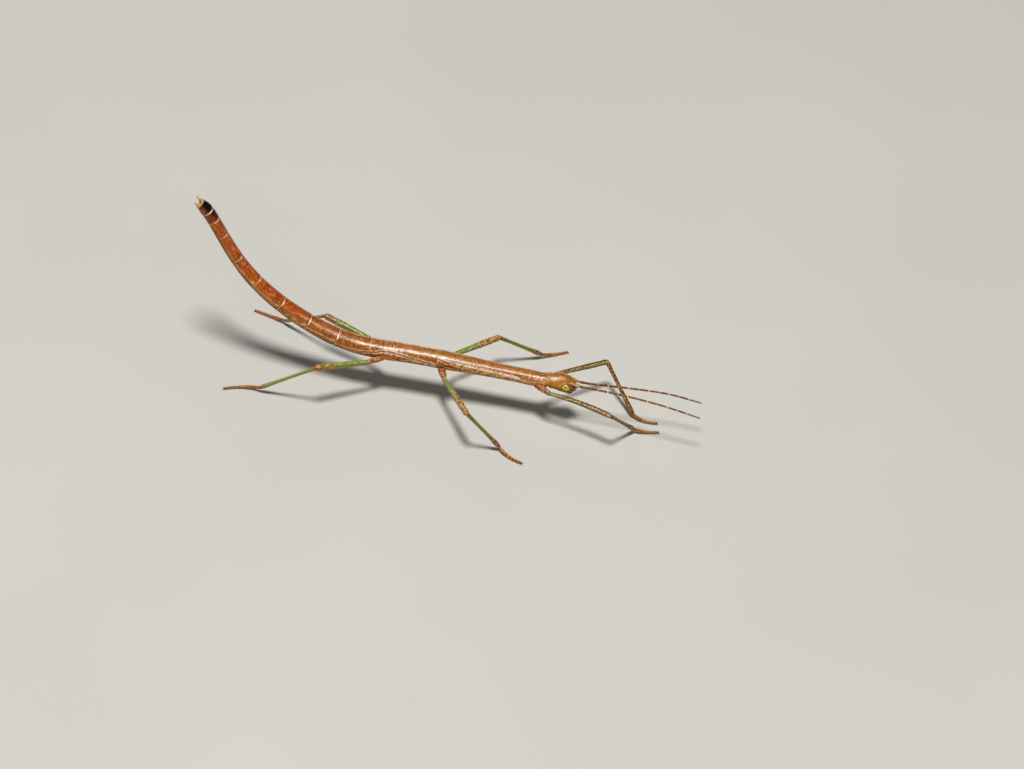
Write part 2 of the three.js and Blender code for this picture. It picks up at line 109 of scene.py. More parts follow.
# Relief on the trunk, as rows of height, middle and spread: across the side margin, and along the
# body past each ring.
MARGIN_RELIEF = ((0.045, 0, 0.08), (-0.02, 0.14, 0.06), (0.022, 0.32, 0.08))
RING_RELIEF = ((0.03, -0.1, 0.12), (-0.05, 0.07, 0.05), (0.025, 0.25, 0.12))
# The tail's blunt end, a shallow hollow inside a rim: how far in, and the share of the radius.
TAIL_HOLLOW = ((0.16, 0.25), (0.14, 0.5), (0.08, 0.74), (-0.02, 0.9), (-0.03, 0.965))

HEAD_PITCH = 6.0
# Along from the neck, half-width, rise of the crown, depth of the cheeks, drop of the middle.
HEAD = np.array([
    (0.00, 0.84, 0.80, 0.82, 0.00),
    (0.22, 0.96, 0.93, 0.91, 0.00),
    (0.60, 1.06, 1.09, 0.94, 0.00),
    (1.10, 1.11, 1.19, 1.05, 0.01),
    (1.60, 1.15, 1.25, 1.23, 0.05),
    (2.10, 1.12, 1.21, 1.35, 0.13),
    (2.60, 1.01, 1.07, 1.29, 0.25),
    (3.05, 0.81, 0.86, 1.04, 0.40),
    (3.40, 0.57, 0.64, 0.74, 0.55),
    (3.62, 0.33, 0.41, 0.43, 0.67),
])
HEAD_CLOSES, HEAD_LENGTH, HEAD_CAP = 3.62, 3.7, 0.09  # where the front rounds off, and how fast
HEAD_STATIONS = np.concatenate([[0.05], np.arange(0.1, 3.45, 0.05), [3.5, 3.56, 3.61, 3.65, 3.68, 3.7]])
# Ridges along the head: height, degrees from the crown, spread, and where each starts and ends.
HEAD_RIDGES = (
    (0.035, 28, 13, (0.3, 1.2), (2.0, 2.7)),
    (-0.03, 0, 7, (0.1, 0.6), (2.2, 2.6)),
    (-0.04, 118, 5, (1.0, 1.6), (3.2, 3.5)),
)
# Swellings of the head: height, degrees and their spread, distance and its spread.
HEAD_SWELLINGS = ((0.05, 86, 16, 1.15, 0.5), (-0.05, 20, 18, 3.0, 0.22))
EYE = {"at": (14.43, 0.96, 7.12), "half": (0.56, 0.38, 0.47)}
FEELER_ROOT = (15.02, 0.43, 7.6)

MOUTH_AT = (14.83, 0.0, 6.26)
# The mouthparts, measured from MOUTH_AT: the lower lip and the upper lip in the middle, then on
# each side a jaw and two palps.
LIPS = (
    {"at": (-0.05, 0, 0.12), "half": (0.72, 0.5, 0.42), "pitch": -28, "rows": 22, "sides": 30},
    {"at": (0.42, 0, 0.05), "half": (0.2, 0.34, 0.4), "pitch": -20, "rows": 16, "sides": 24},
)
JAW = {"at": (0.16, 0.33, 0.02), "half": (0.42, 0.2, 0.36), "pitch": -35, "splay": 8}
LONG_PALP = ((-0.25, 0.4, 0.0), (-0.2, 0.48, -0.3), (0.1, 0.44, -0.44), (0.42, 0.34, -0.38))
SHORT_PALP = ((-0.45, 0.18, -0.12), (-0.35, 0.26, -0.42), (-0.02, 0.26, -0.5))
SHORT_PALP_RADIUS = 0.07

FEELERS = {
    "left": [
        (14.9, 0.42, 7.62), (16.1, 0.6, 7.12), (17.3, 0.7, 7.02),
        (22.3, 1.2, 7.0), (27.5, 1.6, 6.85), (31.7, 1.65, 6.3),
    ],
    "right": [
        (14.9, -0.42, 7.62), (16.4, -0.48, 7.33), (17.6, -0.46, 7.3),
        (22.4, -0.55, 7.2), (27.5, -0.95, 7.0), (31.9, -1.15, 6.3),
    ],
}
SCAPE_LENGTH, PEDICEL_LENGTH = 1.4, 0.55
SCAPE_NARROWING = {"left": 0.72, "right": 1.0}
FEELER_RADIUS, FEELER_TAPER = 0.15, 0.045
FEELER_RING, FEELER_FIRST_RING = 2.62, 4.95  # spacing of the white rings, and where the first is

COXA_ROOT = (0.55, 6.6)  # aside and up, inside the thorax
COXA_BASE = (1.08, 6.35)
LEG_PAIRS = {
    "front": {
        "root": 10.4, "base": 10.9, "coxa": 1.64, "femur": 8.57, "tibia": 7.45, "tarsus": 3.15,
        "girth": 0.31, "tibia_girth": 1.24,
    },
    "middle": {
        "root": -1.9, "base": -1.6, "coxa": 1.6, "femur": 7.5, "tibia": 7.9, "tarsus": 3.55,
        "girth": 0.375, "tibia_girth": 1.18,
    },
    "hind": {
        "root": -9.1, "base": -9.5, "coxa": 1.8, "femur": 7.2, "tibia": 9.9, "tarsus": 4.35,
        "girth": 0.405, "tibia_girth": 1.05,
    },
}
# Pair, side, coxa and femur (heading, rise), headings of tibia and tarsus, bows of femur and tarsus.
LEGS = [
    ("front", "left", (29.2, -3.1), (40.7, -8.3), -43.8, -8.4, (0.0, -0.5)),
    ("front", "right", (-17.5, -4.2), (-14.4, 0.4), 55.0, 12.6, (0.55, -0.2)),
    ("middle", "left", (60.7, -14.1), (45.5, -3.6), 30.4, 31.0, (0.0, 0.0)),
    ("middle", "right", (-63.4, -12.0), (-58.5, 8.7), 20.8, -28.3, (0.0, -0.45)),
    ("hind", "left", (147.0, -2.7), (163.8, 8.1), 142.9, 160.6, (0.0, -0.25)),
    ("hind", "right", (-152.3, -4.3), (-147.3, 8.8), 170.7, -172.4, (0.0, -0.8)),
]
ANKLE_HEIGHT, TOE_HEIGHT = 0.8, 0.22
TARSUS_SOLE = 0.2  # height of the tarsus's middle where it lies on the floor
TARSUS_BEND = 0.4
TARSOMERE_ENDS = (0.42, 0.6, 0.73, 0.83, 1.0)
CERCUS = {"length": 0.8, "apart": 0.45, "splay": 0.25, "root": 0.2}

# Profiles: shares of a limb's length, and its radius at each. The femur's is a share of its girth
# and the tibia's a share of its own.
COXA_PROFILE = ((0, 0.3, 0.6, 0.85, 0.93, 1), (0.42, 0.46, 0.45, 0.34, 0.36, 0.3))
TROCHANTER_PROFILE = ((0, 0.45, 1), (0.25, 0.285, 0.2))
FEMUR_PROFILE = (
    (0, 0.06, 0.2, 0.5, 0.75, 0.9, 0.955, 0.985, 1),
    (0.76, 0.79, 0.86, 1.0, 1.12, 1.05, 1.08, 1.0, 0.8),
)
TIBIA_PROFILE = (
    (0, 0.02, 0.05, 0.15, 0.5, 0.75, 0.94, 1),
    (0.19, 0.21, 0.225, 0.205, 0.19, 0.215, 0.25, 0.2),
)
SCAPE_WIDTHS = ((0, 0.15, 0.5, 0.9, 1), (0.3, 0.32, 0.28, 0.22, 0.17))
SCAPE_HEIGHTS = ((0, 0.15, 0.5, 0.9, 1), (0.2, 0.2, 0.18, 0.15, 0.13))
CERCUS_PROFILE = ((0, 0.2, 0.45, 0.8, 1), (0.24, 0.24, 0.19, 0.1, 0.05))

# The camera, in the insect's own frame: how far it looks down, how far the insect is turned in
# front of it, how far it is rolled, what it aims at and from how far.
CAMERA = {
    "down": 44.0, "turn": -5.016, "roll": 6.866, "aim": (7.026, 5.242, 0.0), "distance": 554.7,
    "lens": 150.0, "sensor": 36.0,
}


# ------------------------------------------------------------------ small tools

FAR = 9.0  # the distance given to points that are near no marking


def vec(*values):
    return np.array(values, float)


UP, SIDEWAYS = vec(0, 0, 1), vec(0, 1, 0)


def unit(v):
    return v / np.linalg.norm(v)


def heading(azimuth, rise=0.0):
    a, r = math.radians(azimuth), math.radians(rise)
    return vec(math.cos(r) * math.cos(a), math.cos(r) * math.sin(a), math.sin(r))


def beside(place, sign, offset=(0, 0, 0)):
    """A place on the left (1) or right (-1), moved by an offset."""
    return vec(place[0] + offset[0], sign * (place[1] + offset[1]), place[2] + offset[2])


def smoothstep(low, high, x):
    t = np.clip((x - low) / (high - low), 0, 1)
    return t * t * (3 - 2 * t)


def bell(x, middle, spread):
    return np.exp(-(((x - middle) / spread) ** 2))


def relief(x, rows):
    return sum(height * bell(x, middle, spread) for height, middle, spread in rows)


def flowing(xs, ys, x):
    """A smooth curve through a table's values, without overshoot at its ends."""
    xs, ys = np.asarray(xs, float), np.asarray(ys, float)
    slopes = np.gradient(ys, xs)
    i = np.clip(np.searchsorted(xs, x, side="right") - 1, 0, len(xs) - 2)
    h = xs[i + 1] - xs[i]
    t = np.clip((x - xs[i]) / h, 0, 1)
    a, b = ys[i], ys[i + 1]
    return (
        (2 * t**3 - 3 * t**2 + 1) * a
        + (t**3 - 2 * t**2 + t) * h * slopes[i]
        + (3 * t**2 - 2 * t**3) * b
        + (t**3 - t**2) * h * slopes[i + 1]
    )


def lumps(points, frequency, seed=0.0):
    """Smooth noise from -1 to 1 at each point."""
    flat = np.asarray(points).reshape(-1, 3) * frequency + seed
    values = np.fromiter((noise.noise(Vector(p)) for p in flat), float, len(flat))
    return values.reshape(np.asarray(points).shape[:-1])


def run_along(line):
    """Distance along a line of points, at each of them."""
    return np.concatenate([[0], np.cumsum(np.linalg.norm(np.diff(line, axis=0), axis=1))])


def angles_round(sides):
    return 2 * np.pi * np.arange(sides) / sides


def from_back(angles):
    """Angle from the back, the same on both sides: 0 on the back and pi on the belly."""
    return np.abs(np.mod(angles + np.pi, 2 * np.pi) - np.pi)


def bent(start, pulled, end, count):
    """A line from start to end, drawn towards the point pulled."""
    t = np.linspace(0, 1, count)[:, None]
    return (1 - t) ** 2 * start + 2 * t * (1 - t) * pulled + t**2 * end


def between(t, low, high, start, end):
    return (high - t) / (high - low) * start + (t - low) / (high - low) * end


def catmull(points, count):
    """A centripetal Catmull-Rom curve, evenly spaced, and the distance along it."""
    points = np.array(points, float)
    padded = np.vstack([2 * points[0] - points[1], points, 2 * points[-1] - points[-2]])
    fine = []
    for i in range(len(points) - 1):
        p = padded[i : i + 4]
        knots = np.concatenate([[0], np.cumsum(np.linalg.norm(np.diff(p, axis=0), axis=1) ** 0.5)])
        for t in np.linspace(knots[1], knots[2], 60, endpoint=i == len(points) - 2):
            near = [between(t, knots[j], knots[j + 1], p[j], p[j + 1]) for j in range(3)]
            wide = [between(t, knots[j], knots[j + 2], near[j], near[j + 1]) for j in range(2)]
            fine.append(between(t, knots[1], knots[2], *wide))
    run = run_along(np.array(fine))
    even = np.linspace(0, run[-1], count)
    return np.stack([np.interp(even, run, column) for column in np.array(fine).T], -1), even


# ------------------------------------------------------------------ shells

class Shell:
    """One closed surface of rings, with one material per face and nine numbers at each vertex.

    place: distance along, angle from the back over pi, and share of the length (on the trunk, the
    distance to the next ring). mark: distance behind the last ring, distance round from the side
    margin, and the sine of the angle. spot: distances from the plates, streaks and seams.
    """

    def __init__(self, rings, kind, place, mark, spot=None, ring_kinds=None):
        count, sides = rings.shape[:2]
        self.kind = kind
        grid = np.arange(count * sides).reshape(count, sides)
        right = np.roll(grid, -1, axis=1)
        quads = np.stack([grid[:-1], right[:-1], right[1:], grid[1:]], -1).reshape(-1, 4)
        first, last = grid.size, grid.size + 1
        fans = [(first, int(right[0][j]), int(grid[0][j])) for j in range(sides)]
        fans += [(last, int(grid[-1][j]), int(right[-1][j])) for j in range(sides)]
        self.faces = [tuple(int(v) for v in q) for q in quads] + fans
        self.points = self._with_poles(rings)
        if spot is None:
            spot = np.full_like(place, FAR)
        self.numbers = np.hstack([self._with_poles(values) for values in (place, mark, spot)])
        if ring_kinds is None:
            self.kinds = [kind] * len(self.faces)
        else:
            per_quad = np.repeat(ring_kinds[:-1], sides)
            self.kinds = list(per_quad) + [ring_kinds[0]] * sides + [ring_kinds[-1]] * sides
        if self._volume() < 0:
            self.faces = [f[::-1] for f in self.faces]

    @staticmethod
    def _with_poles(values):
        return np.vstack([values.reshape(-1, 3), values[0].mean(0), values[-1].mean(0)])

    def _volume(self):
        """Rough volume from a share of the faces: its sign says which way they face."""
        total = 0.0
        for f in self.faces[:: max(1, len(self.faces) // 4000)]:
            p = self.points[list(f[:3])] - self.points[0]
            total += float(np.dot(p[0], np.cross(p[1], p[2])))
        return total


class Lump:
    """Collects the rings of a limb or a rounded lump."""

    def __init__(self, sides):
        self.angles = angles_round(sides)
        self.rings, self.places, self.marks = [], [], []

    def add(self, ring, along, share):
        angles = self.angles
        flat = np.ones(len(angles))
        self.rings.append(ring)
        self.places.append(np.stack([flat * along, from_back(angles) / np.pi, flat * share], -1))
        self.marks.append(np.stack([flat * 0, flat * 0, np.sin(angles)], -1))

    def shell(self, kind):
        return Shell(np.array(self.rings), kind, np.array(self.places), np.array(self.marks))


CAP_TURNS = np.radians([80, 58, 34, 14])  # the extra rings that round off a limb's ends


def tube(middles, half_width, half_height, dorsal, sides, kind, shape=None, starts_at=0.0, caps=(0.5, 0.5)):
    """A limb round a line of middles. shape(share, angles) multiplies the radius; angle 0 is the back."""
    middles = np.asarray(middles, float)
    tangents = np.gradient(middles, axis=0)
    tangents /= np.linalg.norm(tangents, axis=1)[:, None]
    run = run_along(middles)
    share = run / run[-1]
    wide, high = (np.broadcast_to(half, (len(middles),)) for half in (half_width, half_height))
    across = np.cross(dorsal, tangents)
    across /= np.linalg.norm(across, axis=1)[:, None]
    up = np.cross(tangents, across)
    rows = [(middle, 1.0, i) for i, middle in enumerate(middles)]
    for t in CAP_TURNS[::-1]:
        rows.insert(0, (middles[0] - tangents[0] * caps[0] * wide[0] * math.sin(t), math.cos(t), 0))
        rows.append((middles[-1] + tangents[-1] * caps[1] * wide[-1] * math.sin(t), math.cos(t), -1))
    limb = Lump(sides)
    for middle, shrink, i in rows:
        out = 1.0 if shape is None else shape(share[i], limb.angles)
        ring = (
            middle
            + np.outer(np.sin(limb.angles) * wide[i] * shrink * out, across[i])
            + np.outer(np.cos(limb.angles) * high[i] * shrink * out, up[i])
        )
        limb.add(ring, starts_at + run[i], share[i])
    return limb.shell(kind)


def blob(at, half, kind, pitch=0.0, yaw=0.0, rows=14, sides=20):
    """A rounded lump, with its length along its own pitch and yaw."""
    turn = Matrix.Rotation(math.radians(yaw), 3, "Z") @ Matrix.Rotation(-math.radians(pitch), 3, "Y")
    lump = Lump(sides)
    for t in np.radians(np.linspace(-82, 82, rows)):
        local = np.stack([
            np.full(sides, half[0] * math.sin(t)),
            half[1] * math.cos(t) * np.sin(lump.angles),
            half[2] * math.cos(t) * np.cos(lump.angles),
        ], -1)
        share = 0.5 + 0.5 * math.sin(t)
        lump.add(local @ np.array(turn).T + vec(*at), share * 2 * half[0], share)
    return lump.shell(kind)


# ------------------------------------------------------------------ from shells to pieces

EYE_CENTRE = (Vector(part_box("eye_left")[0]) + Vector(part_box("eye_left")[1])) / 2 / MM
SHIFT = np.array(EYE_CENTRE) - vec(*EYE["at"])  # from the insect's own frame to the part's frame
MATERIALS = {}  # kind: material
CREASE = 50.0  # degrees between two faces from which their edge stays sharp


def raw_object(name, shell, kinds):
    mesh = bpy.data.meshes.new(name)
    mesh.from_pydata([tuple(p) for p in shell.points], [], shell.faces)
    for kind in kinds:
        mesh.materials.append(MATERIALS[kind])
    index = {kind: i for i, kind in enumerate(kinds)}
    mesh.polygons.foreach_set("material_index", [index[k] for k in shell.kinds])
    mesh.update()
    made = bpy.data.objects.new(name, mesh)
    bpy.context.scene.collection.objects.link(made)
    return made


def union(name, shells):
    """Joins overlapping closed shells into one closed surface that keeps their numbers."""
    kinds = sorted({k for s in shells for k in s.kinds})
    base = raw_object(name, shells[0], kinds)
    others = [raw_object(f"{name}_{i}", s, kinds) for i, s in enumerate(shells[1:])]
    for other in others:
        joiner = base.modifiers.new("join", "BOOLEAN")
        joiner.operation = "UNION"
        joiner.solver = "MANIFOLD"
        joiner.object = other
    depsgraph = bpy.context.evaluated_depsgraph_get()
    mesh = bpy.data.meshes.new_from_object(base.evaluated_get(depsgraph))
    base.modifiers.clear()
    old = base.data
    base.data = mesh
    bpy.data.meshes.remove(old)
    for other in others:
        data = other.data
        bpy.data.objects.remove(other)
        bpy.data.meshes.remove(data)
    carry_numbers(base, shells, kinds)
    finish_mesh(base)
    return base


def numbers_of_kind(shells, kind):
    """The vertices of one material: a tree to find the nearest, and the numbers of each."""
    rows = []
    for shell in shells:
        used = np.unique([v for f, k in zip(shell.faces, shell.kinds) if k == kind for v in f]).astype(int)
        if len(used):
            rows.append(np.hstack([shell.points[used], shell.numbers[used]]))
    table = np.vstack(rows)
    tree = kdtree.KDTree(len(table))
    for i, row in enumerate(table):
        tree.insert(row[:3], i)
    tree.balance()
    return tree, table[:, 3:]


def read_mesh(items, key):
    values = np.empty(len(items), np.int64)
    items.foreach_get(key, values)
    return values


def carry_numbers(made, shells, kinds):
    """Gives every face corner the numbers of the nearest vertex of its own kind."""
    mesh = made.data
    tables = [numbers_of_kind(shells, kind) for kind in kinds]
    corner_vertex = read_mesh(mesh.loops, "vertex_index")
    face_kind, face_corners = (read_mesh(mesh.polygons, key) for key in ("material_index", "loop_total"))
    corner_kind = np.repeat(face_kind, face_corners)
    pairs, back = np.unique(np.stack([corner_vertex, corner_kind], -1), axis=0, return_inverse=True)
    values = np.empty((len(pairs), 9), np.float32)
    for i, (vertex, kind_index) in enumerate(pairs):
        tree, numbers = tables[kind_index]
        _, nearest, _ = tree.find(mesh.vertices[int(vertex)].co)
        values[i] = numbers[nearest]
    for i, name in enumerate(("place", "mark", "spot")):
        attribute = mesh.attributes.new(name, "FLOAT_VECTOR", "CORNER")
        attribute.data.foreach_set("vector", values[back.reshape(-1)][:, 3 * i : 3 * i + 3].ravel())


def finish_mesh(made):
    """Moves the mesh into the part's frame, in metres, and shades it smooth but for its creases."""
    mesh = made.data
    flat = np.empty(len(mesh.vertices) * 3)
    mesh.vertices.foreach_get("co", flat)
    flat = (flat.reshape(-1, 3) + SHIFT) * MM
    mesh.vertices.foreach_set("co", flat.ravel())
    mesh.polygons.foreach_set("use_smooth", [True] * len(mesh.polygons))
    mesh.update()
    mesh.set_sharp_from_angle(angle=math.radians(CREASE))


# ------------------------------------------------------------------ trunk and head, one surface

def follow_trunk():
    """Rows of distance from the neck, x, z, pitch and mean radius, and the segments' ends."""
    x, z, pitch, radius = NECK["x"], NECK["z"], NECK["pitch"], NECK["radius"]
    rows, ends, s = [(0.0, x, z, pitch, radius)], [0.0], 0.0
    for _, length, end_pitch, end_radius, swell in TRUNK:
        steps = max(8, round(length / STATION))
        before = pitch
        for i in range(1, steps + 1):
            share = i / steps
            now = pitch + (end_pitch - pitch) * share
            mean = math.radians((before + now) / 2)
            x -= length / steps * math.cos(mean)
            z += length / steps * math.sin(mean)
            s += length / steps
            plain = radius + (end_radius - radius) * smoothstep(0, 1, share)
            rows.append((s, x, z, now, plain + swell * math.sin(math.pi * share)))
            before = now
        pitch, radius = end_pitch, end_radius
        ends.append(s)
    return np.array(rows), np.array(ends)


def ways(pitch):
    """The directions back and up from the trunk's axis at this pitch."""
    p = math.radians(pitch)
    return vec(-math.cos(p), 0, math.sin(p)), vec(math.sin(p), 0, math.cos(p))


def away_from_line(s, t, line):
    """Distance of points (s, t), in millimetres along and round the body, from one drawn line."""
    (s0, d0), (s1, d1), width = line
    start, end = vec(s0, math.radians(d0) * ROUND), vec(s1, math.radians(d1) * ROUND)
    way = end - start
    share = np.clip(((s - start[0]) * way[0] + (t - start[1]) * way[1]) / (way @ way), 0, 1)
    return np.hypot(s - start[0] - share * way[0], t - start[1] - share * way[1]) - width


def away_from_plate(s, t, plate):
    """Rough signed distance of points from a plate's outline, below 0 inside it."""
    at, degrees, half_length, half_height, tilt = plate
    ds, dt = s - at, t - math.radians(degrees) * ROUND
    c, n = math.cos(math.radians(tilt)), math.sin(math.radians(tilt))
    reach = np.hypot((ds * c + dt * n) / half_length, (dt * c - ds * n) / half_height)
    return (reach - 1) * half_height


def trunk_relief(s, past_ring, tail, t, degrees, edge, spot, points):
    """How far the surface stands out of the plain trunk at distance s, at each point round it."""
    plate, streak, seam = spot
    thorax = 1 - smoothstep(20, 27, s)
    out = (1 - 0.8 * smoothstep(31, 42, s)) * relief(edge, MARGIN_RELIEF)
    out += 0.02 * bell(degrees, 0, 5) * (1 - smoothstep(24, 34, s))
    out += 0.02 * bell(degrees, 33, 9) * thorax - 0.015 * bell(degrees, 48, 8) * thorax
    out += (0.3 + 0.7 * smoothstep(20, 27, s)) * relief(past_ring, RING_RELIEF)
    for at, around in KNOBS:
        away = (s - at) ** 2 + (t - math.radians(around) * ROUND) ** 2
        out += KNOB_HEIGHT * np.exp(-away / KNOB_SPREAD**2)
    out += 0.045 * smoothstep(0.05, -0.12, plate)
    out += 0.02 * bell(streak, -0.03, 0.06) - 0.035 * bell(seam, -0.03, 0.06)
    out += 0.03 * smoothstep(tail - 0.2, tail - 0.05, s)
    rough = lumps(points, 2.6) * 0.01 + lumps(points, 6.5, 11.0) * 0.005
    folds = 0.03 * lumps(points * vec(3.4, 0.8, 0.8), 1.0, 5.0) * (1 - smoothstep(1.8, 2.6, s))
    out += rough * (1 - 0.4 * smoothstep(24, 32, s)) + folds
    if s < 0.3:
        out += 0.03 * bell(s, 0.16, 0.08) - 0.05 * bell(s, 0.0, 0.05)
    return out


def head_relief(at, degrees, points):
    out = lumps(points, 2.2, 3.0) * 0.016 + lumps(points, 7.0, 21.0) * 0.005
    for height, middle, spread, starts, stops in HEAD_RIDGES:
        out += height * bell(degrees, middle, spread) * smoothstep(*starts, at) * (1 - smoothstep(*stops, at))
    for height, middle, spread, distance, reach in HEAD_SWELLINGS:
        out += height * bell(degrees, middle, spread) * bell(at, distance, reach)
    return out


def trunk_and_head():
    """The rings run from the tail's end forwards to the neck, and on over the head."""
    rows, ends = follow_trunk()
    angles = angles_round(TRUNK_SIDES)
    turn = from_back(angles)
    degrees, t = np.degrees(turn), turn * ROUND
    margin_s, margin_degrees = np.array(MARGIN).T
    nothing = (FAR, FAR, FAR)
    rings, places, marks, spots, kinds = [], [], [], [], []

    def round_axis(middle, up, width, height):
        return middle + np.outer(np.sin(angles) * width, SIDEWAYS) + np.outer(np.cos(angles) * height, up)

    def add(ring, kind, *numbers):
        rings.append(ring)
        kinds.append(kind)
        for column, values in zip((places, marks, spots), numbers):
            column.append(np.stack([np.broadcast_to(value, (TRUNK_SIDES,)) for value in values], -1))

    def deep(rise, depth):
        return np.where(np.cos(angles) > 0, rise, depth)

    tail, x, z, pitch, radius = rows[-1]
    back, up = ways(pitch)
    for inward, shrink in TAIL_HOLLOW:
        half = radius * shrink
        ring = round_axis(vec(x, 0, z) - back * inward, up, half * BREADTH, half * FLATNESS)
        add(ring, "trunk", (tail, turn / np.pi, 1.0), (0.0, FAR, np.sin(angles)), nothing)
    for s, x, z, pitch, radius in rows[::-1]:
        middle, (_, up) = vec(x, 0, z), ways(pitch)
        past_ring = s - ends[np.argmin(np.abs(s - ends))]  # below 0 in front of the nearest ring
        behind = s - ends[ends <= s + 1e-6].max()
        ahead = ends[ends >= s - 1e-6].min() - s
        edge = np.radians(degrees - np.interp(s, margin_s, margin_degrees)) * radius
        spot = (
            np.min([away_from_plate(s, t, plate) for plate in PLATES], axis=0),
            np.min([away_from_line(s, t, line) for line in STREAKS], axis=0),
            np.min([away_from_line(s, t, line) for line in SEAMS], axis=0),
        )
        points = round_axis(middle, up, radius, radius)
        out = 1 + trunk_relief(s, past_ring, tail, t, degrees, edge, spot, points) / radius
        high = radius * FLATNESS
        ring = round_axis(middle, up, radius * BREADTH * out, deep(high, high * BELLY) * out)
        add(ring, "trunk", (s, turn / np.pi, ahead), (behind, edge, np.sin(angles)), spot)
    forward, up = heading(0, HEAD_PITCH), heading(180, 90 - HEAD_PITCH)
    neck = vec(NECK["x"], 0, NECK["z"])
    for at in HEAD_STATIONS:
        sizes = [flowing(HEAD[:, 0], column, min(at, HEAD_CLOSES)) for column in HEAD.T[1:]]
        width, rise, depth, drop = sizes
        close = 1.0
        if at > HEAD_CLOSES:
            close = math.sqrt(max(0.02, 1 - ((at - HEAD_CLOSES) / HEAD_CAP) ** 2))
        if at < 0.2:
            close *= 0.93 + 0.07 * smoothstep(0.04, 0.2, at)
        middle = neck + forward * at - up * drop
        out = 1 + head_relief(at, degrees, round_axis(middle, up, width, rise))
        ring = round_axis(middle, up, width * close * out, deep(rise * close, depth * close) * out)
        add(ring, "head", (at, turn / np.pi, at / HEAD_LENGTH), (0.0, FAR, np.sin(angles)), nothing)
    columns = [np.array(column) for column in (places, marks, spots)]
    shell = Shell(np.array(rings), "trunk", *columns, kinds)
    raise_round_eyes(shell)
    return shell


def raise_round_eyes(shell):
    """A rim round each eye and a hollow under it, and a low rim round each feeler's root."""
    for sign in (1, -1):
        reach = np.linalg.norm((shell.points - beside(EYE["at"], sign)) / vec(*EYE["half"]), axis=1)
        outwards = unit(vec(0.1, sign * 0.9, 0.25))
        height = 0.035 * bell(reach, 1.2, 0.1) - 0.16 * smoothstep(1.08, 0.9, reach)
        shell.points += np.outer(height, outwards)
        near = np.linalg.norm(shell.points - beside(FEELER_ROOT, sign), axis=1)
        shell.points += np.outer(0.06 * bell(near, 0.36, 0.09), unit(vec(0.75, sign * 0.1, 0.6)))


# ------------------------------------------------------------------ legs, feelers and cerci

def ridged(depth, corners=4):
    return lambda share, angles: 1 + depth * np.cos(corners * (angles - np.pi / 4))


def leg_points(pair, side, coxa_way, femur_way, tibia_azimuth, tarsus_azimuth, bows):
    """Where a leg bends, from the root to the toe, with the points that bow its femur and tarsus."""
    size = LEG_PAIRS[pair]
    sign = 1 if side == "left" else -1
    root = vec(size["root"], sign * COXA_ROOT[0], COXA_ROOT[1])
    base = vec(size["base"], sign * COXA_BASE[0], COXA_BASE[1])
    hip = base + heading(*coxa_way) * size["coxa"]
    knee = hip + heading(*femur_way) * size["femur"]
    fall = math.degrees(math.asin((ANKLE_HEIGHT - knee[2]) / size["tibia"]))
    ankle = knee + heading(tibia_azimuth, fall) * size["tibia"]
    level = math.degrees(math.asin((TOE_HEIGHT - ANKLE_HEIGHT) / size["tarsus"]))
    toe = ankle + heading(tarsus_azimuth, level) * size["tarsus"]
    thigh = (hip + knee) / 2 + heading(femur_way[0] + 90) * bows[0]
    instep = ankle + (toe - ankle) * TARSUS_BEND + heading(tarsus_azimuth + 90) * bows[1]
    toe[2] = instep[2] = TARSUS_SOLE
    return root, hip, thigh, knee, ankle, instep, toe


def leg_shells(pair, points):
    size = LEG_PAIRS[pair]
    root, hip, thigh, knee, ankle, instep, toe = points
    # coxa: stout, with a lip round its end
    line = np.linspace(root, hip, 26)
    radius = flowing(*COXA_PROFILE, np.linspace(0, 1, 26)) + 0.012 * lumps(line, 4.0)
    coxa = tube(line, radius, radius, UP, 28, "coxa", ridged(0.02, 3))
    # trochanter: a small bead between coxa and femur
    way = unit(thigh - hip)
    line = np.linspace(hip - way * 0.1, hip + way * 0.3, 10)
    radius = flowing(*TROCHANTER_PROFILE, np.linspace(0, 1, 10))
    trochanter = tube(line, radius, radius, UP, 24, "coxa")
    line = bent(hip + way * 0.1, thigh, knee, 84)
    radius = size["girth"] * flowing(*FEMUR_PROFILE, np.linspace(0, 1, 84))
    femur = tube(line, radius * 0.98, radius * 1.02, UP, 28, f"femur_{pair}", ridged(0.055), caps=(0.3, 0.8))
    way = unit(ankle - knee)
    line = np.linspace(knee - way * 0.02, ankle, 72)
    radius = flowing(*TIBIA_PROFILE, np.linspace(0, 1, 72)) * size["tibia_girth"]
    tibia = tube(line, radius, radius, UP, 24, f"tibia_{pair}", ridged(0.06), caps=(0.9, 0.7))
    # tarsus, in five pieces, lying on the floor
    line = bent(ankle, instep, toe, 100)
    run = run_along(line)
    radius = np.array([tarsus_radius(share) for share in run / run[-1]])
    line[:, 2] = np.maximum(line[:, 2], radius * 1.11)
    tarsus = tube(line, radius, radius, UP, 20, "tarsus", padded_sole, caps=(0.6, 0.5))
    return [coxa, trochanter, femur, tibia, tarsus]


def tarsomere(share):
    """Which of the tarsus's five pieces this is, and how far along it."""
    piece = next(i for i, end in enumerate(TARSOMERE_ENDS) if share <= end + 1e-9)
    start = 0.0 if piece == 0 else TARSOMERE_ENDS[piece - 1]
    return piece, (share - start) / (TARSOMERE_ENDS[piece] - start)


def tarsus_radius(share):
    piece, within = tarsomere(share)
    slim = 0.187 - 0.01 * min(piece, 3)
    return slim + 0.035 * within**1.6 - 0.035 * math.exp(-((within / 0.1) ** 2)) * (piece > 0)


def padded_sole(share, angles):
    return 1 + 0.1 * np.clip(-np.cos(angles), 0, 1) * tarsomere(float(share))[1] ** 3


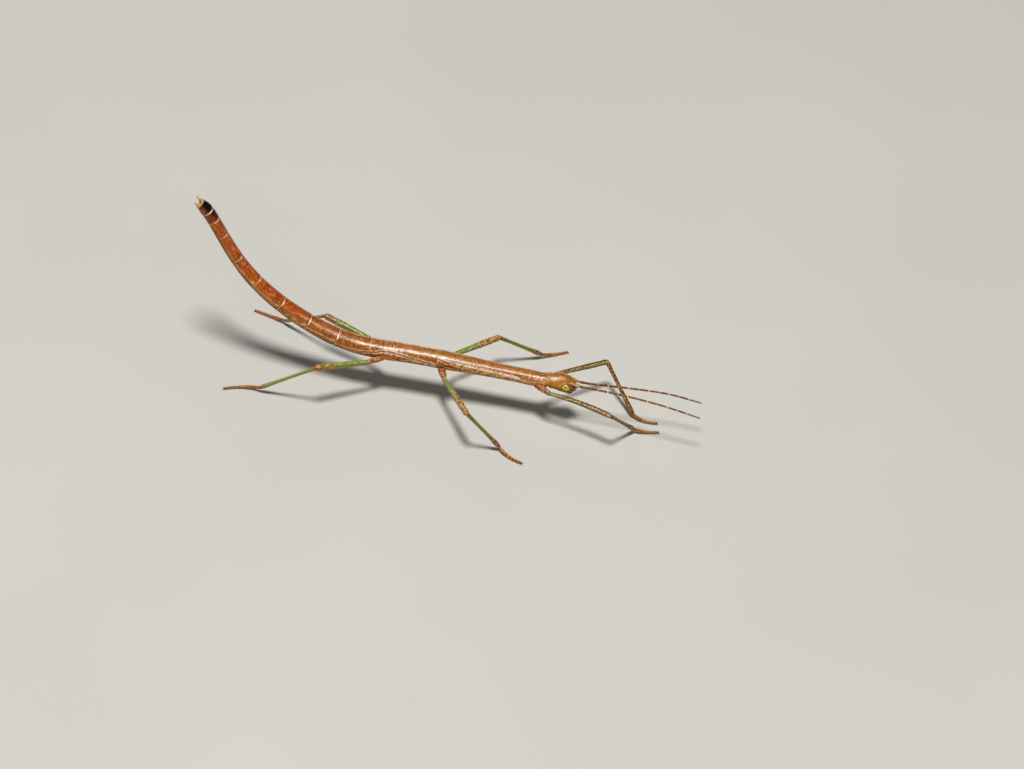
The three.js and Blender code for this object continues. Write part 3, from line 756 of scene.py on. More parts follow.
def claw_shells(instep, toe):
    way = unit((toe - instep) * vec(1, 1, 0))
    aside = np.cross(UP, way)
    yaw = math.degrees(math.atan2(way[1], way[0]))
    shells = [blob(toe + way * 0.16 + UP * -0.03, (0.16, 0.12, 0.12), "claw", yaw=yaw, rows=12, sides=18)]
    pad = toe + way * 0.29
    pad[2] = 0.1
    shells.append(blob(pad, (0.14, 0.13, 0.098), "pad", yaw=yaw, rows=14, sides=20))
    for sign in (1, -1):
        start = toe + way * 0.2 + aside * sign * 0.06 + UP * 0.03
        out = toe + way * 0.38 + aside * sign * 0.22 + UP * 0.06
        end = toe + way * 0.44 + aside * sign * 0.2
        end[2] = 0.035
        radius = 0.05 * (1 - 0.72 * np.linspace(0, 1, 16))
        shells.append(tube(bent(start, out, end, 16), radius, radius, UP, 12, "claw"))
    return shells


def feeler_shells(side):
    line, run = catmull(FEELERS[side], 340)
    scape = line[run <= SCAPE_LENGTH]
    share = np.linspace(0, 1, len(scape))
    wide = flowing(*SCAPE_WIDTHS, share) * SCAPE_NARROWING[side]
    shells = [tube(scape, wide, flowing(*SCAPE_HEIGHTS, share), UP, 24, "scape")]
    starts_at = SCAPE_LENGTH - 0.1
    middles, along = line[run > starts_at], run[run > starts_at]
    share = (along - SCAPE_LENGTH) / PEDICEL_LENGTH
    pedicel = np.where(along < SCAPE_LENGTH + PEDICEL_LENGTH, 0.03 * np.sin(np.pi * np.clip(share, 0, 1)), 0)
    joint = np.abs(np.mod(along - FEELER_FIRST_RING + FEELER_RING / 4, FEELER_RING / 2) - FEELER_RING / 4)
    tapered = FEELER_RADIUS - FEELER_TAPER * (along - SCAPE_LENGTH) / (run[-1] - SCAPE_LENGTH)
    radius = tapered + pedicel + 0.014 * bell(joint, 0, 0.12) - 0.012 * bell(joint, 0.16, 0.05)
    shells.append(tube(middles, radius, radius, UP, 14, "feeler", starts_at=starts_at, caps=(0.3, 1.2)))
    return shells


def tail_shells():
    """The two cerci, and the lobe between them that closes the tail."""
    _, x, z, pitch, _ = follow_trunk()[0][-1]
    back, up = ways(pitch)
    radius = flowing(*CERCUS_PROFILE, np.linspace(0, 1, 22))
    shells = []
    for sign in (1, -1):
        base = vec(x, sign * CERCUS["apart"], z) - back * CERCUS["root"]
        tip = base + back * (CERCUS["length"] + CERCUS["root"]) + vec(0, sign * CERCUS["splay"], 0)
        shells.append(tube(np.linspace(base, tip, 22), radius, radius * 0.8, up, 22, "cercus"))
    lobe = vec(x, 0, z) - back * 0.3
    shells.append(blob(lobe, (0.2, 0.52, 0.48), "cercus", pitch=180 - pitch, rows=18, sides=32))
    return shells


def mouth_shells():
    shells = []
    for lip in LIPS:
        middle = beside(MOUTH_AT, 1, lip["at"])
        shells.append(blob(middle, lip["half"], "mouth", lip["pitch"], rows=lip["rows"], sides=lip["sides"]))
    share = np.linspace(0, 1, 36)
    radius = 0.085 + 0.018 * np.abs(np.sin(share * np.pi * 3)) - 0.015 * share
    for sign in (1, -1):
        jaw = beside(MOUTH_AT, sign, JAW["at"])
        shells.append(blob(jaw, JAW["half"], "mouth", JAW["pitch"], -sign * JAW["splay"], rows=16, sides=22))
        palps = ((LONG_PALP, radius, 36, 14), (SHORT_PALP, SHORT_PALP_RADIUS, 24, 12))
        for points, thickness, count, sides in palps:
            line, _ = catmull([beside(MOUTH_AT, sign, point) for point in points], count)
            shells.append(tube(line, thickness, thickness, UP, sides, "palp"))
    return shells


# ------------------------------------------------------------------ colours

PALETTE = {  # sRGB, 0 to 255
    "tan": (162, 104, 22),
    "sienna": (148, 74, 6),
    "orange": (186, 98, 12),
    "rust": (182, 76, 4),
    "umber": (56, 22, 0),
    "bark": (94, 52, 8),
    "soot": (12, 4, 0),
    "blood": (96, 20, 0),
    "cream": (228, 194, 140),
    "blush": (216, 160, 120),
    "ochre": (188, 124, 20),
    "olive": (102, 88, 4),
    "green": (98, 128, 30),
    "lime": (150, 170, 84),
    "white": (232, 228, 214),
    "khaki": (138, 108, 36),
    "smoke": (134, 116, 70),
    "gold": (196, 140, 60),
    "sand": (212, 162, 100),
    "walnut": (98, 46, 10),
    "pearl": (246, 228, 220),
    "mustard": (150, 122, 14),
    "copper": (150, 76, 30),
    "yellow": (202, 182, 12),
    "paper": (198, 197, 193),
}


def linear(name):
    def channel(value):
        c = value / 255
        return c / 12.92 if c <= 0.04045 else ((c + 0.055) / 1.055) ** 2.4
    return (*(channel(v) for v in PALETTE[name]), 1.0)


class Paint:
    """A procedural material, built up in layers over the numbers the surface carries."""

    def __init__(self, name, base, roughness=0.5, specular=0.5):
        self.material = bpy.data.materials.new(name)
        self.material.use_nodes = True
        self.nodes, self.links = self.material.node_tree.nodes, self.material.node_tree.links
        self.shader = next(n for n in self.nodes if n.type == "BSDF_PRINCIPLED")
        self.shader.inputs["Specular IOR Level"].default_value = specular
        self.shader.inputs["Specular Tint"].default_value = (1.0, 0.92, 0.84, 1.0)
        self.along, self.fold, self.share = self._carried("place")
        self.ring, self.edge, self.aside = self._carried("mark")
        self.plate, self.streak, self.seam = self._carried("spot")
        scale = self.node("ShaderNodeVectorMath", operation="SCALE")
        self.links.new(self.node("ShaderNodeTexCoord").outputs["Object"], scale.inputs[0])
        scale.inputs["Scale"].default_value = 1 / MM
        self.solid = scale.outputs[0]
        self.straight = {None: self.solid}  # coordinates by how far they are stretched along the body
        self.colour = self._rgb(base)
        self.rough = self.value(roughness)
        self.height = self.value(0.0)

    def node(self, kind, **settings):
        made = self.nodes.new(kind)
        for key, value in settings.items():
            setattr(made, key, value)
        return made

    def value(self, number):
        made = self.node("ShaderNodeValue")
        made.outputs[0].default_value = number
        return made.outputs[0]

    def _rgb(self, name):
        made = self.node("ShaderNodeRGB")
        made.outputs[0].default_value = linear(name)
        return made.outputs[0]

    def _carried(self, name):
        """The three numbers that the surface carries under this name."""
        carried = self.node("ShaderNodeAttribute", attribute_name=name)
        parts = self.node("ShaderNodeSeparateXYZ")
        self.links.new(carried.outputs["Vector"], parts.inputs[0])
        return parts.outputs[0], parts.outputs[1], parts.outputs[2]

    def _feed(self, socket, value):
        if hasattr(value, "is_output"):
            self.links.new(value, socket)
        else:
            socket.default_value = value

    def math(self, operation, first, second=0.0):
        made = self.node("ShaderNodeMath", operation=operation)
        for socket, value in zip(made.inputs, (first, second)):
            self._feed(socket, value)
        return made.outputs[0]

    def plus(self, first, second):
        return self.math("ADD", first, second)

    def minus(self, first, second):
        return self.math("SUBTRACT", first, second)

    def times(self, *values):
        result = values[0]
        for value in values[1:]:
            result = self.math("MULTIPLY", result, value)
        return result

    def rise(self, value, low, high):
        """0 below low, 1 above high, smooth between. low over high turns it round."""
        made = self.node("ShaderNodeMapRange", interpolation_type="SMOOTHSTEP")
        falls = low > high
        self._feed(made.inputs["Value"], value)
        made.inputs["From Min"].default_value, made.inputs["From Max"].default_value = sorted((low, high))
        made.inputs["To Min"].default_value = float(falls)
        made.inputs["To Max"].default_value = float(not falls)
        return made.outputs["Result"]

    def band(self, value, middle, reach, soft=0.5):
        """1 within reach of middle, fading out past it."""
        away = self.math("ABSOLUTE", self.minus(value, middle))
        return self.rise(away, reach * (1 + soft), reach * (1 - soft))

    def within(self, value, low, high, soft):
        """1 from low to high, fading out past them."""
        starts, stops = self.rise(value, low - soft, low + soft), self.rise(value, high + soft, high - soft)
        return self.times(starts, stops)

    def _places(self, stretch):
        """Coordinates in space, or along and round the body as if it were straight, by a stretch."""
        if stretch not in self.straight:
            joined = self.node("ShaderNodeCombineXYZ")
            self._feed(joined.inputs[0], self.times(self.along, stretch))
            self._feed(joined.inputs[1], self.aside)
            self._feed(joined.inputs[2], self.math("COSINE", self.times(self.fold, math.pi)))
            self.straight[stretch] = joined.outputs[0]
        return self.straight[stretch]

    def vector(self, operation, first, second=(0, 0, 0)):
        made = self.node("ShaderNodeVectorMath", operation=operation)
        self._feed(made.inputs[0], first)
        self._feed(made.inputs[1], second)
        return made.outputs["Value" if operation == "LENGTH" else "Vector"]

    def from_eye(self):
        """How far each point is from the middle of the nearer eye, 1 on the eye's own surface."""
        mirrored = self.vector("ABSOLUTE", self.vector("SUBTRACT", self.solid, tuple(SHIFT)))
        away = self.vector("SUBTRACT", mirrored, EYE["at"])
        return self.vector("LENGTH", self.vector("DIVIDE", away, EYE["half"]))

    def noise(self, scale, detail=2, seed=0.0, stretch=None):
        made = self.node("ShaderNodeTexNoise", noise_dimensions="4D")
        self.links.new(self._places(stretch), made.inputs["Vector"])
        made.inputs["W"].default_value = seed
        made.inputs["Scale"].default_value = scale
        made.inputs["Detail"].default_value = detail
        return made.outputs["Fac"]

    def cells(self, scale, stretch=None, randomness=1.0):
        """How far each point is from the nearest of many scattered points."""
        made = self.node("ShaderNodeTexVoronoi")
        self.links.new(self._places(stretch), made.inputs["Vector"])
        made.inputs["Scale"].default_value = scale
        made.inputs["Randomness"].default_value = randomness
        return made.outputs["Distance"]

    def blotches(self, low, high, scale, detail=2, seed=0.0, stretch=None):
        return self.rise(self.noise(scale, detail, seed, stretch), low, high)

    def dots(self, low, high, scale, stretch=None):
        return self.rise(self.cells(scale, stretch), low, high)

    def lay(self, name, strength, *masks):
        """A layer of one colour where all the masks are 1."""
        mix = self.node("ShaderNodeMix", data_type="RGBA")
        factors = masks if strength == 1.0 else (*masks, strength)
        self._feed(mix.inputs["Factor"], self.times(*factors))
        self.links.new(self.colour, mix.inputs["A"])
        mix.inputs["B"].default_value = linear(name)
        self.colour = mix.outputs["Result"]

    def lift(self, mask, amount):
        """Raises the surface by amount millimetres where mask is 1."""
        self.height = self.plus(self.height, self.times(mask, amount))

    def gloss(self, mask, roughness):
        """Moves the roughness towards this value where mask is 1."""
        change = self.times(self.minus(roughness, self.rough), mask)
        self.rough = self.plus(self.rough, change)

    def done(self, subsurface=0.0, coat=0.0, coat_roughness=0.12):
        bump = self.node("ShaderNodeBump")
        bump.inputs["Strength"].default_value = 1.0
        bump.inputs["Distance"].default_value = MM
        self.links.new(self.height, bump.inputs["Height"])
        self.links.new(bump.outputs["Normal"], self.shader.inputs["Normal"])
        self.links.new(self.colour, self.shader.inputs["Base Color"])
        self.links.new(self.rough, self.shader.inputs["Roughness"])
        if subsurface:
            self.shader.inputs["Subsurface Weight"].default_value = subsurface
            self.shader.inputs["Subsurface Radius"].default_value = (0.0006, 0.0004, 0.0001)
            self.shader.inputs["Subsurface Scale"].default_value = 1.0
        if coat:
            self.shader.inputs["Coat Weight"].default_value = coat
            self.shader.inputs["Coat Tint"].default_value = (1.0, 0.94, 0.84, 1.0)
            self.shader.inputs["Coat Roughness"].default_value = coat_roughness
        return self.material


def grain(p, scale, amount, stretch=None):
    """Fine granules: rounded bumps with narrow valleys."""
    p.lift(p.dots(0.6, 0.05, scale, stretch), amount)


def paint_trunk():
    p = Paint("trunk", "tan", 0.36, 0.18)
    body, streaky = 1.0, 0.22  # how far the markings are stretched along the body
    eighth, ninth, tail = 51.9, 53.45, 54.8  # distances from the neck to the last segments' ends
    s, fold, edge, behind, ahead = p.along, p.fold, p.edge, p.ring, p.share
    plate, streak, seam = p.plate, p.streak, p.seam
    abdomen = p.rise(s, 23, 31)
    # ground colour, from tan in front to rust behind
    p.lay("sienna", 0.75, p.rise(s, 16.0, 26.0))
    p.lay("rust", 0.9, p.rise(s, 27.0, 38.0))
    flank = p.times(p.rise(fold, 0.2, 0.32), p.rise(edge, 0.1, -0.05))
    p.lay("sienna", 0.7, flank, p.blotches(0.3, 0.6, 1.2, 3, 2.0, streaky))
    p.lay(
        "umber", 0.45, p.band(fold, 0.285, 0.025, 0.9), p.within(s, 2.8, 18.5, 0.6),
        p.blotches(0.35, 0.55, 2.2, 2, 3.0, streaky),
    )
    p.lay("walnut", 0.6, p.blotches(0.5, 0.7, 1.6, 4, 7.0, streaky))
    p.lay("bark", 0.5, p.blotches(0.5, 0.66, 2.8, 3, 2.0, body), p.rise(s, 40, 25))
    p.lay("blood", 0.45, p.blotches(0.48, 0.6, 1.6, 3, 14.0, 0.6), abdomen)
    p.lay("orange", 0.6, p.blotches(0.52, 0.66, 2.0, 3, 15.0, body), abdomen)
    # pale streaks along the upper side of the thorax, partly painted highlight; a painted highlight band
    # along the back; a pale band above the side margin; and pale granular patches
    light = p.blotches(0.44, 0.6, 1.9, 4, 4.0, 0.35)
    p.lay("blush", 0.6, light, p.within(fold, 0.1, 0.22, 0.04), p.rise(s, 33, 26))
    # painted highlight: a broken white band where the sheen falls, strongest on the middle of the thorax
    shine = p.blotches(0.28, 0.56, 5.0, 4, 31.0, 0.5)
    reach = p.plus(0.4, p.times(p.within(s, 12.0, 22.0, 2.0), 0.5))
    p.lay("pearl", 1.0, p.band(fold, 0.17, 0.045, 1.0), p.within(s, 2.6, 33.0, 2.5), shine, reach)
    p.lay(
        "pearl", 0.85, p.band(edge, -0.16, 0.17, 0.8), p.within(s, 3.2, 12.6, 0.5),
        p.blotches(0.42, 0.54, 5.0, 3, 16.0, 0.7),
    )
    granules = p.blotches(0.4, 0.56, 4.2, 3, 1.0, body)
    for low, high, top, bottom in ((0.1, 2.4, 0.13, 0.3), (19.6, 21.8, 0.16, 0.4), (11.4, 12.8, 0.19, 0.36)):
        patch = p.times(p.within(s, low, high, 0.2), p.within(fold, top, bottom, 0.04))
        p.lay("blush", 0.9, patch, granules)
        p.lay("pearl", 0.9, patch, p.blotches(0.5, 0.6, 5.0, 3, 30.0, body))
    # beside and below the margin of the back
    side = p.rise(s, 50, 42)
    p.lay("ochre", 0.7, p.within(edge, 0.05, 0.34, 0.04), side, p.blotches(0.42, 0.58, 2.4, 3, 18.0, 0.5))
    p.lay(
        "sand", 0.8, p.within(edge, -0.12, 0.3, 0.08), p.rise(s, 22, 19),
        p.blotches(0.36, 0.54, 2.6, 3, 33.0, 0.6),
    )
    p.lay(
        "sand", 0.8, p.within(edge, 0.36, 0.62, 0.06), p.within(s, 2.6, 27, 2),
        p.blotches(0.4, 0.52, 2.6, 3, 34.0, 0.5),
    )
    # a golden belt low on the abdomen's side: its golden colour, made brighter as painted light reflected
    # from below
    belt = p.times(p.within(edge, -0.17, 0.5, 0.04), p.within(s, 25, 47, 2))
    p.lay("gold", 0.75, belt)
    p.lay("walnut", 0.7, belt, p.blotches(0.46, 0.56, 2.6, 3, 36.0, 0.6))
    p.lay("sand", 0.7, belt, p.blotches(0.52, 0.6, 3.4, 2, 37.0, 0.5))
    spots = p.dots(0.36, 0.18, 3.0, 0.8)
    p.lay("walnut", 0.75, spots, p.rise(edge, 0.0, 0.1), p.rise(s, 22, 18), p.rise(fold, 0.8, 0.7))
    under = p.times(p.rise(edge, 0.3, 0.42), p.rise(fold, 0.9, 0.78))
    p.lay("sienna", 0.9, under, p.blotches(0.42, 0.56, 2.6, 3, 5.0, 0.6))
    # painted shade: a dark band along the lower side of the rear thorax and abdomen
    p.lay("walnut", 0.7, p.within(fold, 0.58, 0.76, 0.05), p.rise(s, 22, 28))
    p.lay("orange", 0.4, p.rise(s, 46, 49), p.blotches(0.4, 0.6, 1.2, 2, 19.0, body), p.rise(fold, 0.3, 0.5))
    p.lay("khaki", 0.35, p.rise(fold, 0.78, 0.9))
    broken = p.plus(0.25, p.times(p.blotches(0.36, 0.52, 2.0, 2, 9.0, streaky), 0.75))
    keel = p.times(p.rise(s, 47, 38), broken, p.rise(s, 2.4, 3.4))
    p.lay("walnut", 0.95, p.band(edge, 0.12, 0.045), keel)
    p.lay("walnut", 0.8, p.band(edge, 0.24, 0.03), keel, p.rise(s, 13, 15), p.rise(s, 34, 30))
    p.lay("gold", 0.9, p.band(edge, 0.0, 0.055), keel)
    p.lay("gold", 0.8, p.band(edge, 0.34, 0.05), keel, p.rise(s, 13, 15), p.rise(s, 34, 30))
    p.lay("pearl", 0.9, p.band(edge, 0.0, 0.06), keel, p.rise(s, 28, 23))
    p.lay("pearl", 0.8, p.band(edge, 0.34, 0.05), keel, p.rise(s, 13, 15), p.rise(s, 26, 22))
    p.lay("cream", 0.5, p.band(edge, 0.33, 0.05), keel, p.rise(s, 13, 11))
    # speckles, pale and dark
    p.lay("walnut", 0.5, p.blotches(0.5, 0.6, 3.4, 3, 24.0, 0.9))
    p.lay("blush", 0.45, p.blotches(0.52, 0.62, 3.8, 3, 25.0, 0.9), p.rise(s, 32, 24))
    p.lay("ochre", 0.4, p.blotches(0.52, 0.62, 3.8, 3, 25.0, 0.9), p.rise(s, 24, 32))
    pale = p.dots(0.3, 0.14, 3.6, body)
    p.lay("blush", 0.5, pale, p.blotches(0.4, 0.56, 1.4, 2, 3.0, body), p.rise(s, 36, 26))
    dots = p.dots(0.3, 0.12, 4.6, 0.7)
    p.lay("umber", 0.6, dots, p.blotches(0.38, 0.55, 1.0, 2, 6.0, body))
    # plates over the coxae, dark seams and pale streaks
    p.lay("ochre", 0.85, p.rise(plate, 0.02, -0.06))
    p.lay("sienna", 0.5, p.rise(plate, -0.05, -0.2), p.blotches(0.45, 0.6, 3.0, 2, 21.0, body))
    p.lay("soot", 0.85, p.band(plate, 0.04, 0.035))
    p.lay("cream", 0.85, p.rise(streak, 0.03, -0.02))
    p.lay("soot", 0.8, p.rise(seam, 0.03, -0.02))
    # pink dashes over the back of the abdomen, partly painted highlight where the sheen breaks up
    p.lay(
        "blush", 0.5, p.blotches(0.52, 0.62, 3.0, 2, 35.0, 0.6),
        p.within(fold, 0.06, 0.28, 0.06), p.within(s, 28, 50, 3),
    )
    # rings: a pale crescent at each segment's rear edge and a dark groove behind it; on the upper side the
    # crescents are wider and brighter, as painted highlight
    strong = p.plus(0.3, p.times(p.rise(s, 21, 28), 0.7))
    crown = p.within(fold, 0.08, 0.3, 0.08)
    uneven = p.blotches(0.3, 0.7, 2.5, 2, 22.0, body)
    wide = p.plus(0.07, p.times(uneven, p.plus(0.03, p.times(crown, 0.17))))
    crescent = p.rise(p.minus(ahead, wide), 0.03, -0.03)
    p.lay("sand", 0.75, crescent, strong, p.rise(s, tail - 0.7, tail - 0.8))
    p.lay(
        "pearl", 0.9, crescent, strong, crown, p.rise(s, tail - 0.7, tail - 0.8),
        p.blotches(0.35, 0.55, 2.0, 2, 23.0, body),
    )
    p.lay("umber", 0.75, p.within(behind, 0.03, 0.1, 0.02), strong)
    slanted = p.minus(p.times(behind, 0.14), p.minus(fold, 0.355))
    p.lay(
        "cream", 0.85, p.within(behind, 0.15, 0.7, 0.06), p.band(slanted, 0.0, 0.022),
        p.within(s, 27, 43, 1),
    )
    # the last segments
    ragged = p.plus(fold, p.times(p.minus(p.noise(1.6, 2, 8.0, body), 0.5), 0.2))
    p.lay("ochre", 0.15, p.rise(s, 44, 48), p.within(ragged, 0.42, 0.6, 0.05))
    p.lay("blood", 0.85, p.rise(s, eighth, eighth + 0.1), p.blotches(0.2, 0.6, 1.5, 3, 29.0, body))
    slope = p.times(p.minus(s, eighth + 0.1), 0.16)
    between_rings = p.within(s, eighth + 0.05, ninth - 0.05, 0.03)
    p.lay("soot", 0.95, between_rings, p.rise(p.minus(ragged, slope), 0.24, -0.04))
    p.lay("blood", 0.9, p.rise(s, ninth, ninth + 0.07), p.blotches(0.2, 0.5, 1.4, 2, 28.0, body))
    p.lay("soot", 0.98, p.rise(s, ninth, ninth + 0.07), p.rise(ragged, 0.5, 0.26))
    p.lay("orange", 0.6, p.within(s, ninth + 0.15, ninth + 0.75, 0.1), p.band(ragged, 0.47, 0.04))
    p.lay("sand", 0.25, p.rise(s, ninth - 0.15, ninth + 0.25), p.rise(ragged, 0.52, 0.6))
    p.lay("sand", 0.85, p.within(s, ninth - 0.15, ninth - 0.01, 0.03))
    # painted highlight: the last ring is brighter on its upper side
    p.lay("pearl", 0.9, p.within(s, ninth - 0.17, ninth - 0.01, 0.03), crown)
    p.lay("cream", 0.75, p.rise(s, tail - 0.08, tail - 0.03))
    # the surface itself
    grain(p, 7.0, 0.014, body)
    p.lift(p.noise(16.0, 2, stretch=body), 0.006)
    p.lift(p.noise(3.0, 3, 5.0, 0.3), 0.025)
    p.gloss(p.blotches(0.45, 0.65, 2.6, 3, 12.0, body), 0.46)
    p.gloss(p.rise(fold, 0.42, 0.55), 0.7)
    p.gloss(p.rise(s, 51.6, 52.2), 0.26)
    return p.done(coat=0.4, coat_roughness=0.22)


def paint_head():
    p = Paint("head", "tan", 0.3, 0.36)
    at, fold = p.along, p.fold
    p.lay("orange", 0.3, p.blotches(0.42, 0.62, 1.3, 3, 2.0))
    p.lay("copper", 0.6, p.rise(fold, 0.4, 0.2), p.blotches(0.42, 0.6, 2.4, 3, 15.0))
    p.lay("sand", 0.5, p.blotches(0.5, 0.62, 3.2, 3, 16.0))
    p.lay("walnut", 0.4, p.blotches(0.54, 0.64, 3.6, 3, 17.0))
    p.lay("sienna", 0.8, p.rise(fold, 0.5, 0.62), p.blotches(0.3, 0.55, 1.8, 3, 5.0))
    p.lay("umber", 0.75, p.within(fold, 0.58, 0.74, 0.05), p.rise(at, 2.9, 2.4))
    # painted highlight: a broken pale sheen along the side of the crown
    sheen = p.times(
        p.band(fold, 0.19, 0.045, 1.0), p.within(at, 0.35, 1.35, 0.35), p.blotches(0.2, 0.5, 1.8, 3, 8.0),
    )
    # a pale pinkish patch on the crown, partly painted highlight round the sheen
    p.lay(
        "blush", 0.7, p.within(fold, 0.08, 0.32, 0.07), p.within(at, 0.3, 2.3, 0.4),
        p.blotches(0.35, 0.6, 1.6, 3, 9.0),
    )
    p.lay("pearl", 0.9, sheen)
    p.lay("ochre", 0.45, p.within(fold, 0.3, 0.5, 0.06), p.within(at, 0.4, 2.0, 0.4))
    p.lay("cream", 0.8, p.rise(at, 0.24, 0.12))
    p.lay("umber", 0.45, p.band(fold, 0.0, 0.03))
    p.lay("mustard", 0.95, p.rise(at, 2.35, 2.7), p.rise(fold, 0.36, 0.44))
    p.lay("umber", 0.3, p.rise(at, 1.7, 2.3), p.rise(fold, 0.52, 0.62))
    p.lay(
        "umber", 0.8, p.rise(at, 2.2, 2.5), p.within(fold, 0.46, 0.62, 0.04),
        p.blotches(0.42, 0.5, 2.4, 2, 9.0),
    )
    p.lay("soot", 0.85, p.rise(at, 2.9, 3.1), p.within(fold, 0.22, 0.4, 0.05))
    # a dark ring round each eye, part outline and part painted shade in its socket
    reach = p.from_eye()
    p.lay("umber", 0.85, p.band(reach, 1.1, 0.12))
    p.lay("gold", 0.6, p.band(reach, 1.32, 0.08), p.blotches(0.4, 0.55, 3.0, 2, 18.0))
    pale = p.dots(0.28, 0.12, 3.8)
    p.lay("blush", 0.55, pale, p.blotches(0.4, 0.56, 1.6, 2, 3.0))
    p.lay("soot", 0.6, p.dots(0.28, 0.1, 5.0), p.blotches(0.38, 0.55, 1.2, 2, 6.0))
    grain(p, 5.0, 0.014)
    p.lift(p.noise(12.0, 2), 0.01)
    p.lift(p.noise(3.0, 2), 0.035)
    p.gloss(p.blotches(0.45, 0.65, 2.6, 3, 12.0), 0.4)
    p.gloss(p.rise(at, 1.0, 1.9), 0.5)
    return p.done()


def paint_coxa():
    p = Paint("coxa", "copper", 0.38, 0.5)
    p.lay("tan", 0.7, p.blotches(0.4, 0.6, 2.4, 3, 1.0))
    p.lay("umber", 0.75, p.blotches(0.5, 0.58, 2.6, 3, 8.0))
    p.lay("sand", 0.8, p.dots(0.42, 0.26, 2.8))
    p.lay("cream", 0.7, p.dots(0.26, 0.14, 4.4))
    p.lay("soot", 0.6, p.dots(0.22, 0.1, 5.2))
    p.lay("cream", 0.35, p.within(p.share, 0.9, 0.96, 0.02))
    grain(p, 6.5, 0.03)
    p.lift(p.noise(14.0, 2), 0.014)
    return p.done()


def paint_femur(pair):
    p = Paint(f"femur_{pair}", {"front": "smoke", "middle": "khaki", "hind": "green"}[pair], 0.33, 0.6)
    limb = 1.6
    round_limb = 3.0
    share, fold = p.share, p.fold
    if pair == "front":
        p.lay("khaki", 0.6, p.blotches(0.42, 0.6, 1.4, 3, 5.0, limb))
        middle = p.within(fold, 0.1, 0.47, 0.04)
        p.lay("umber", 0.95, p.minus(1.0, middle), p.blotches(0.34, 0.46, 1.0, 2, 4.0, round_limb))
        p.lay("bark", 0.85, middle, p.blotches(0.5, 0.6, 1.2, 3, 1.0, round_limb))
        p.lay(
            "cream", 0.8, middle, p.dots(0.44, 0.3, 1.3, round_limb),
            p.blotches(0.36, 0.5, 0.7, 2, 6.0, round_limb),
        )
        p.lay("gold", 0.85, p.dots(0.3, 0.18, 1.5, round_limb), p.blotches(0.4, 0.5, 0.9, 2, 7.0, round_limb))
        p.lay("lime", 0.5, p.rise(share, 0.3, 0.05), p.blotches(0.4, 0.5, 1.2, 3, 13.0, round_limb))
    if pair == "middle":
        rear = p.rise(share, 0.45, 0.7)
        p.lay("green", 0.85, p.rise(share, 0.75, 0.45))
        p.lay("ochre", 0.7, rear, p.blotches(0.4, 0.52, 1.1, 3, 2.0, round_limb))
        p.lay("walnut", 0.85, p.rise(share, 0.3, 0.6), p.blotches(0.5, 0.58, 1.4, 3, 12.0, round_limb))
        p.lay("lime", 0.55, p.within(fold, 0.1, 0.4, 0.06), p.rise(share, 0.6, 0.3))
        p.lay("cream", 0.9, p.rise(share, 0.1, 0.4), p.dots(0.44, 0.3, 1.3, round_limb))
    if pair == "hind":
        p.lay("lime", 0.45, p.blotches(0.4, 0.65, 1.2, 2, 2.0, limb), p.rise(fold, 0.7, 0.3))
        p.lay("olive", 0.5, p.blotches(0.45, 0.62, 2.0, 3, 8.0, limb))
        p.lay("sienna", 0.75, p.rise(share, 0.6, 0.88), p.blotches(0.3, 0.5, 1.8, 3, 5.0, limb))
        p.lay("cream", 0.7, p.dots(0.34, 0.2, 1.4, round_limb), p.rise(share, 0.35, 0.7))
        p.lay("walnut", 0.7, p.blotches(0.52, 0.6, 1.3, 3, 4.0, round_limb), p.rise(share, 0.3, 0.7))
        # two broken lines along the limb
        p.lay("cream", 0.6, p.within(fold, 0.06, 0.2, 0.03), p.blotches(0.45, 0.53, 2.2, 2, 11.0, 0.9))
        p.lay("gold", 0.7, p.within(fold, 0.48, 0.6, 0.03), p.blotches(0.45, 0.53, 2.2, 2, 12.0, 0.9))
    # a pale pinkish band at the knee, partly painted glint
    p.lay("blush", 0.5, p.within(share, 0.95, 0.985, 0.006), p.blotches(0.45, 0.55, 2.5, 2, 9.0))
    p.lay("umber", 0.6, p.band(share, 0.94, 0.006))
    grain(p, 7.0, 0.012)
    p.lift(p.noise(3.0, 2, stretch=limb), 0.04)
    return p.done(subsurface=0.12 if pair != "front" else 0.0)


def paint_tibia(pair):
    p = Paint(f"tibia_{pair}", {"front": "bark", "middle": "green", "hind": "green"}[pair], 0.32, 0.6)
    limb = 3.6
    share, fold = p.share, p.fold
    ends = p.plus(p.rise(share, 0.24, 0.1), p.rise(share, 0.66, 0.78))
    if pair == "front":
        p.lay("umber", 0.9, p.blotches(0.46, 0.54, 1.0, 3, 1.0, limb))
        p.lay("ochre", 0.8, p.dots(0.44, 0.32, 0.85, limb), p.blotches(0.36, 0.46, 0.7, 2, 7.0, limb))
        p.lay("gold", 0.9, p.dots(0.36, 0.22, 1.3, limb), p.blotches(0.36, 0.46, 0.8, 2, 4.0, limb))
        p.lay("sienna", 0.6, p.rise(share, 0.75, 0.95), p.blotches(0.4, 0.55, 1.0, 2, 6.0, limb))
    if pair == "middle":
        p.lay("khaki", 0.4, p.blotches(0.4, 0.6, 0.9, 2, 8.0, limb))
        p.lay("sienna", 0.85, ends)
        p.lay("umber", 0.85, p.blotches(0.46, 0.54, 1.1, 3, 2.0, limb), p.plus(0.15, ends))
        p.lay("cream", 0.8, p.dots(0.36, 0.22, 1.4, limb), p.plus(0.15, ends))
    if pair == "hind":
        tips = p.plus(p.rise(share, 0.12, 0.03), p.rise(share, 0.86, 0.95))
        p.lay("lime", 0.6, p.rise(fold, 0.45, 0.3))
        p.lay("ochre", 0.5, p.rise(fold, 0.5, 0.62), p.blotches(0.4, 0.55, 0.9, 2, 6.0, limb))
        p.lay("sienna", 0.8, tips, p.blotches(0.25, 0.45, 1.0, 2, 4.0, limb))
    p.lay("umber", 0.5, p.rise(share, 0.975, 0.985))
    grain(p, 8.0, 0.01)
    p.lift(p.noise(3.0, 2, stretch=limb), 0.035)
    return p.done(subsurface=0.12 if pair != "front" else 0.0)


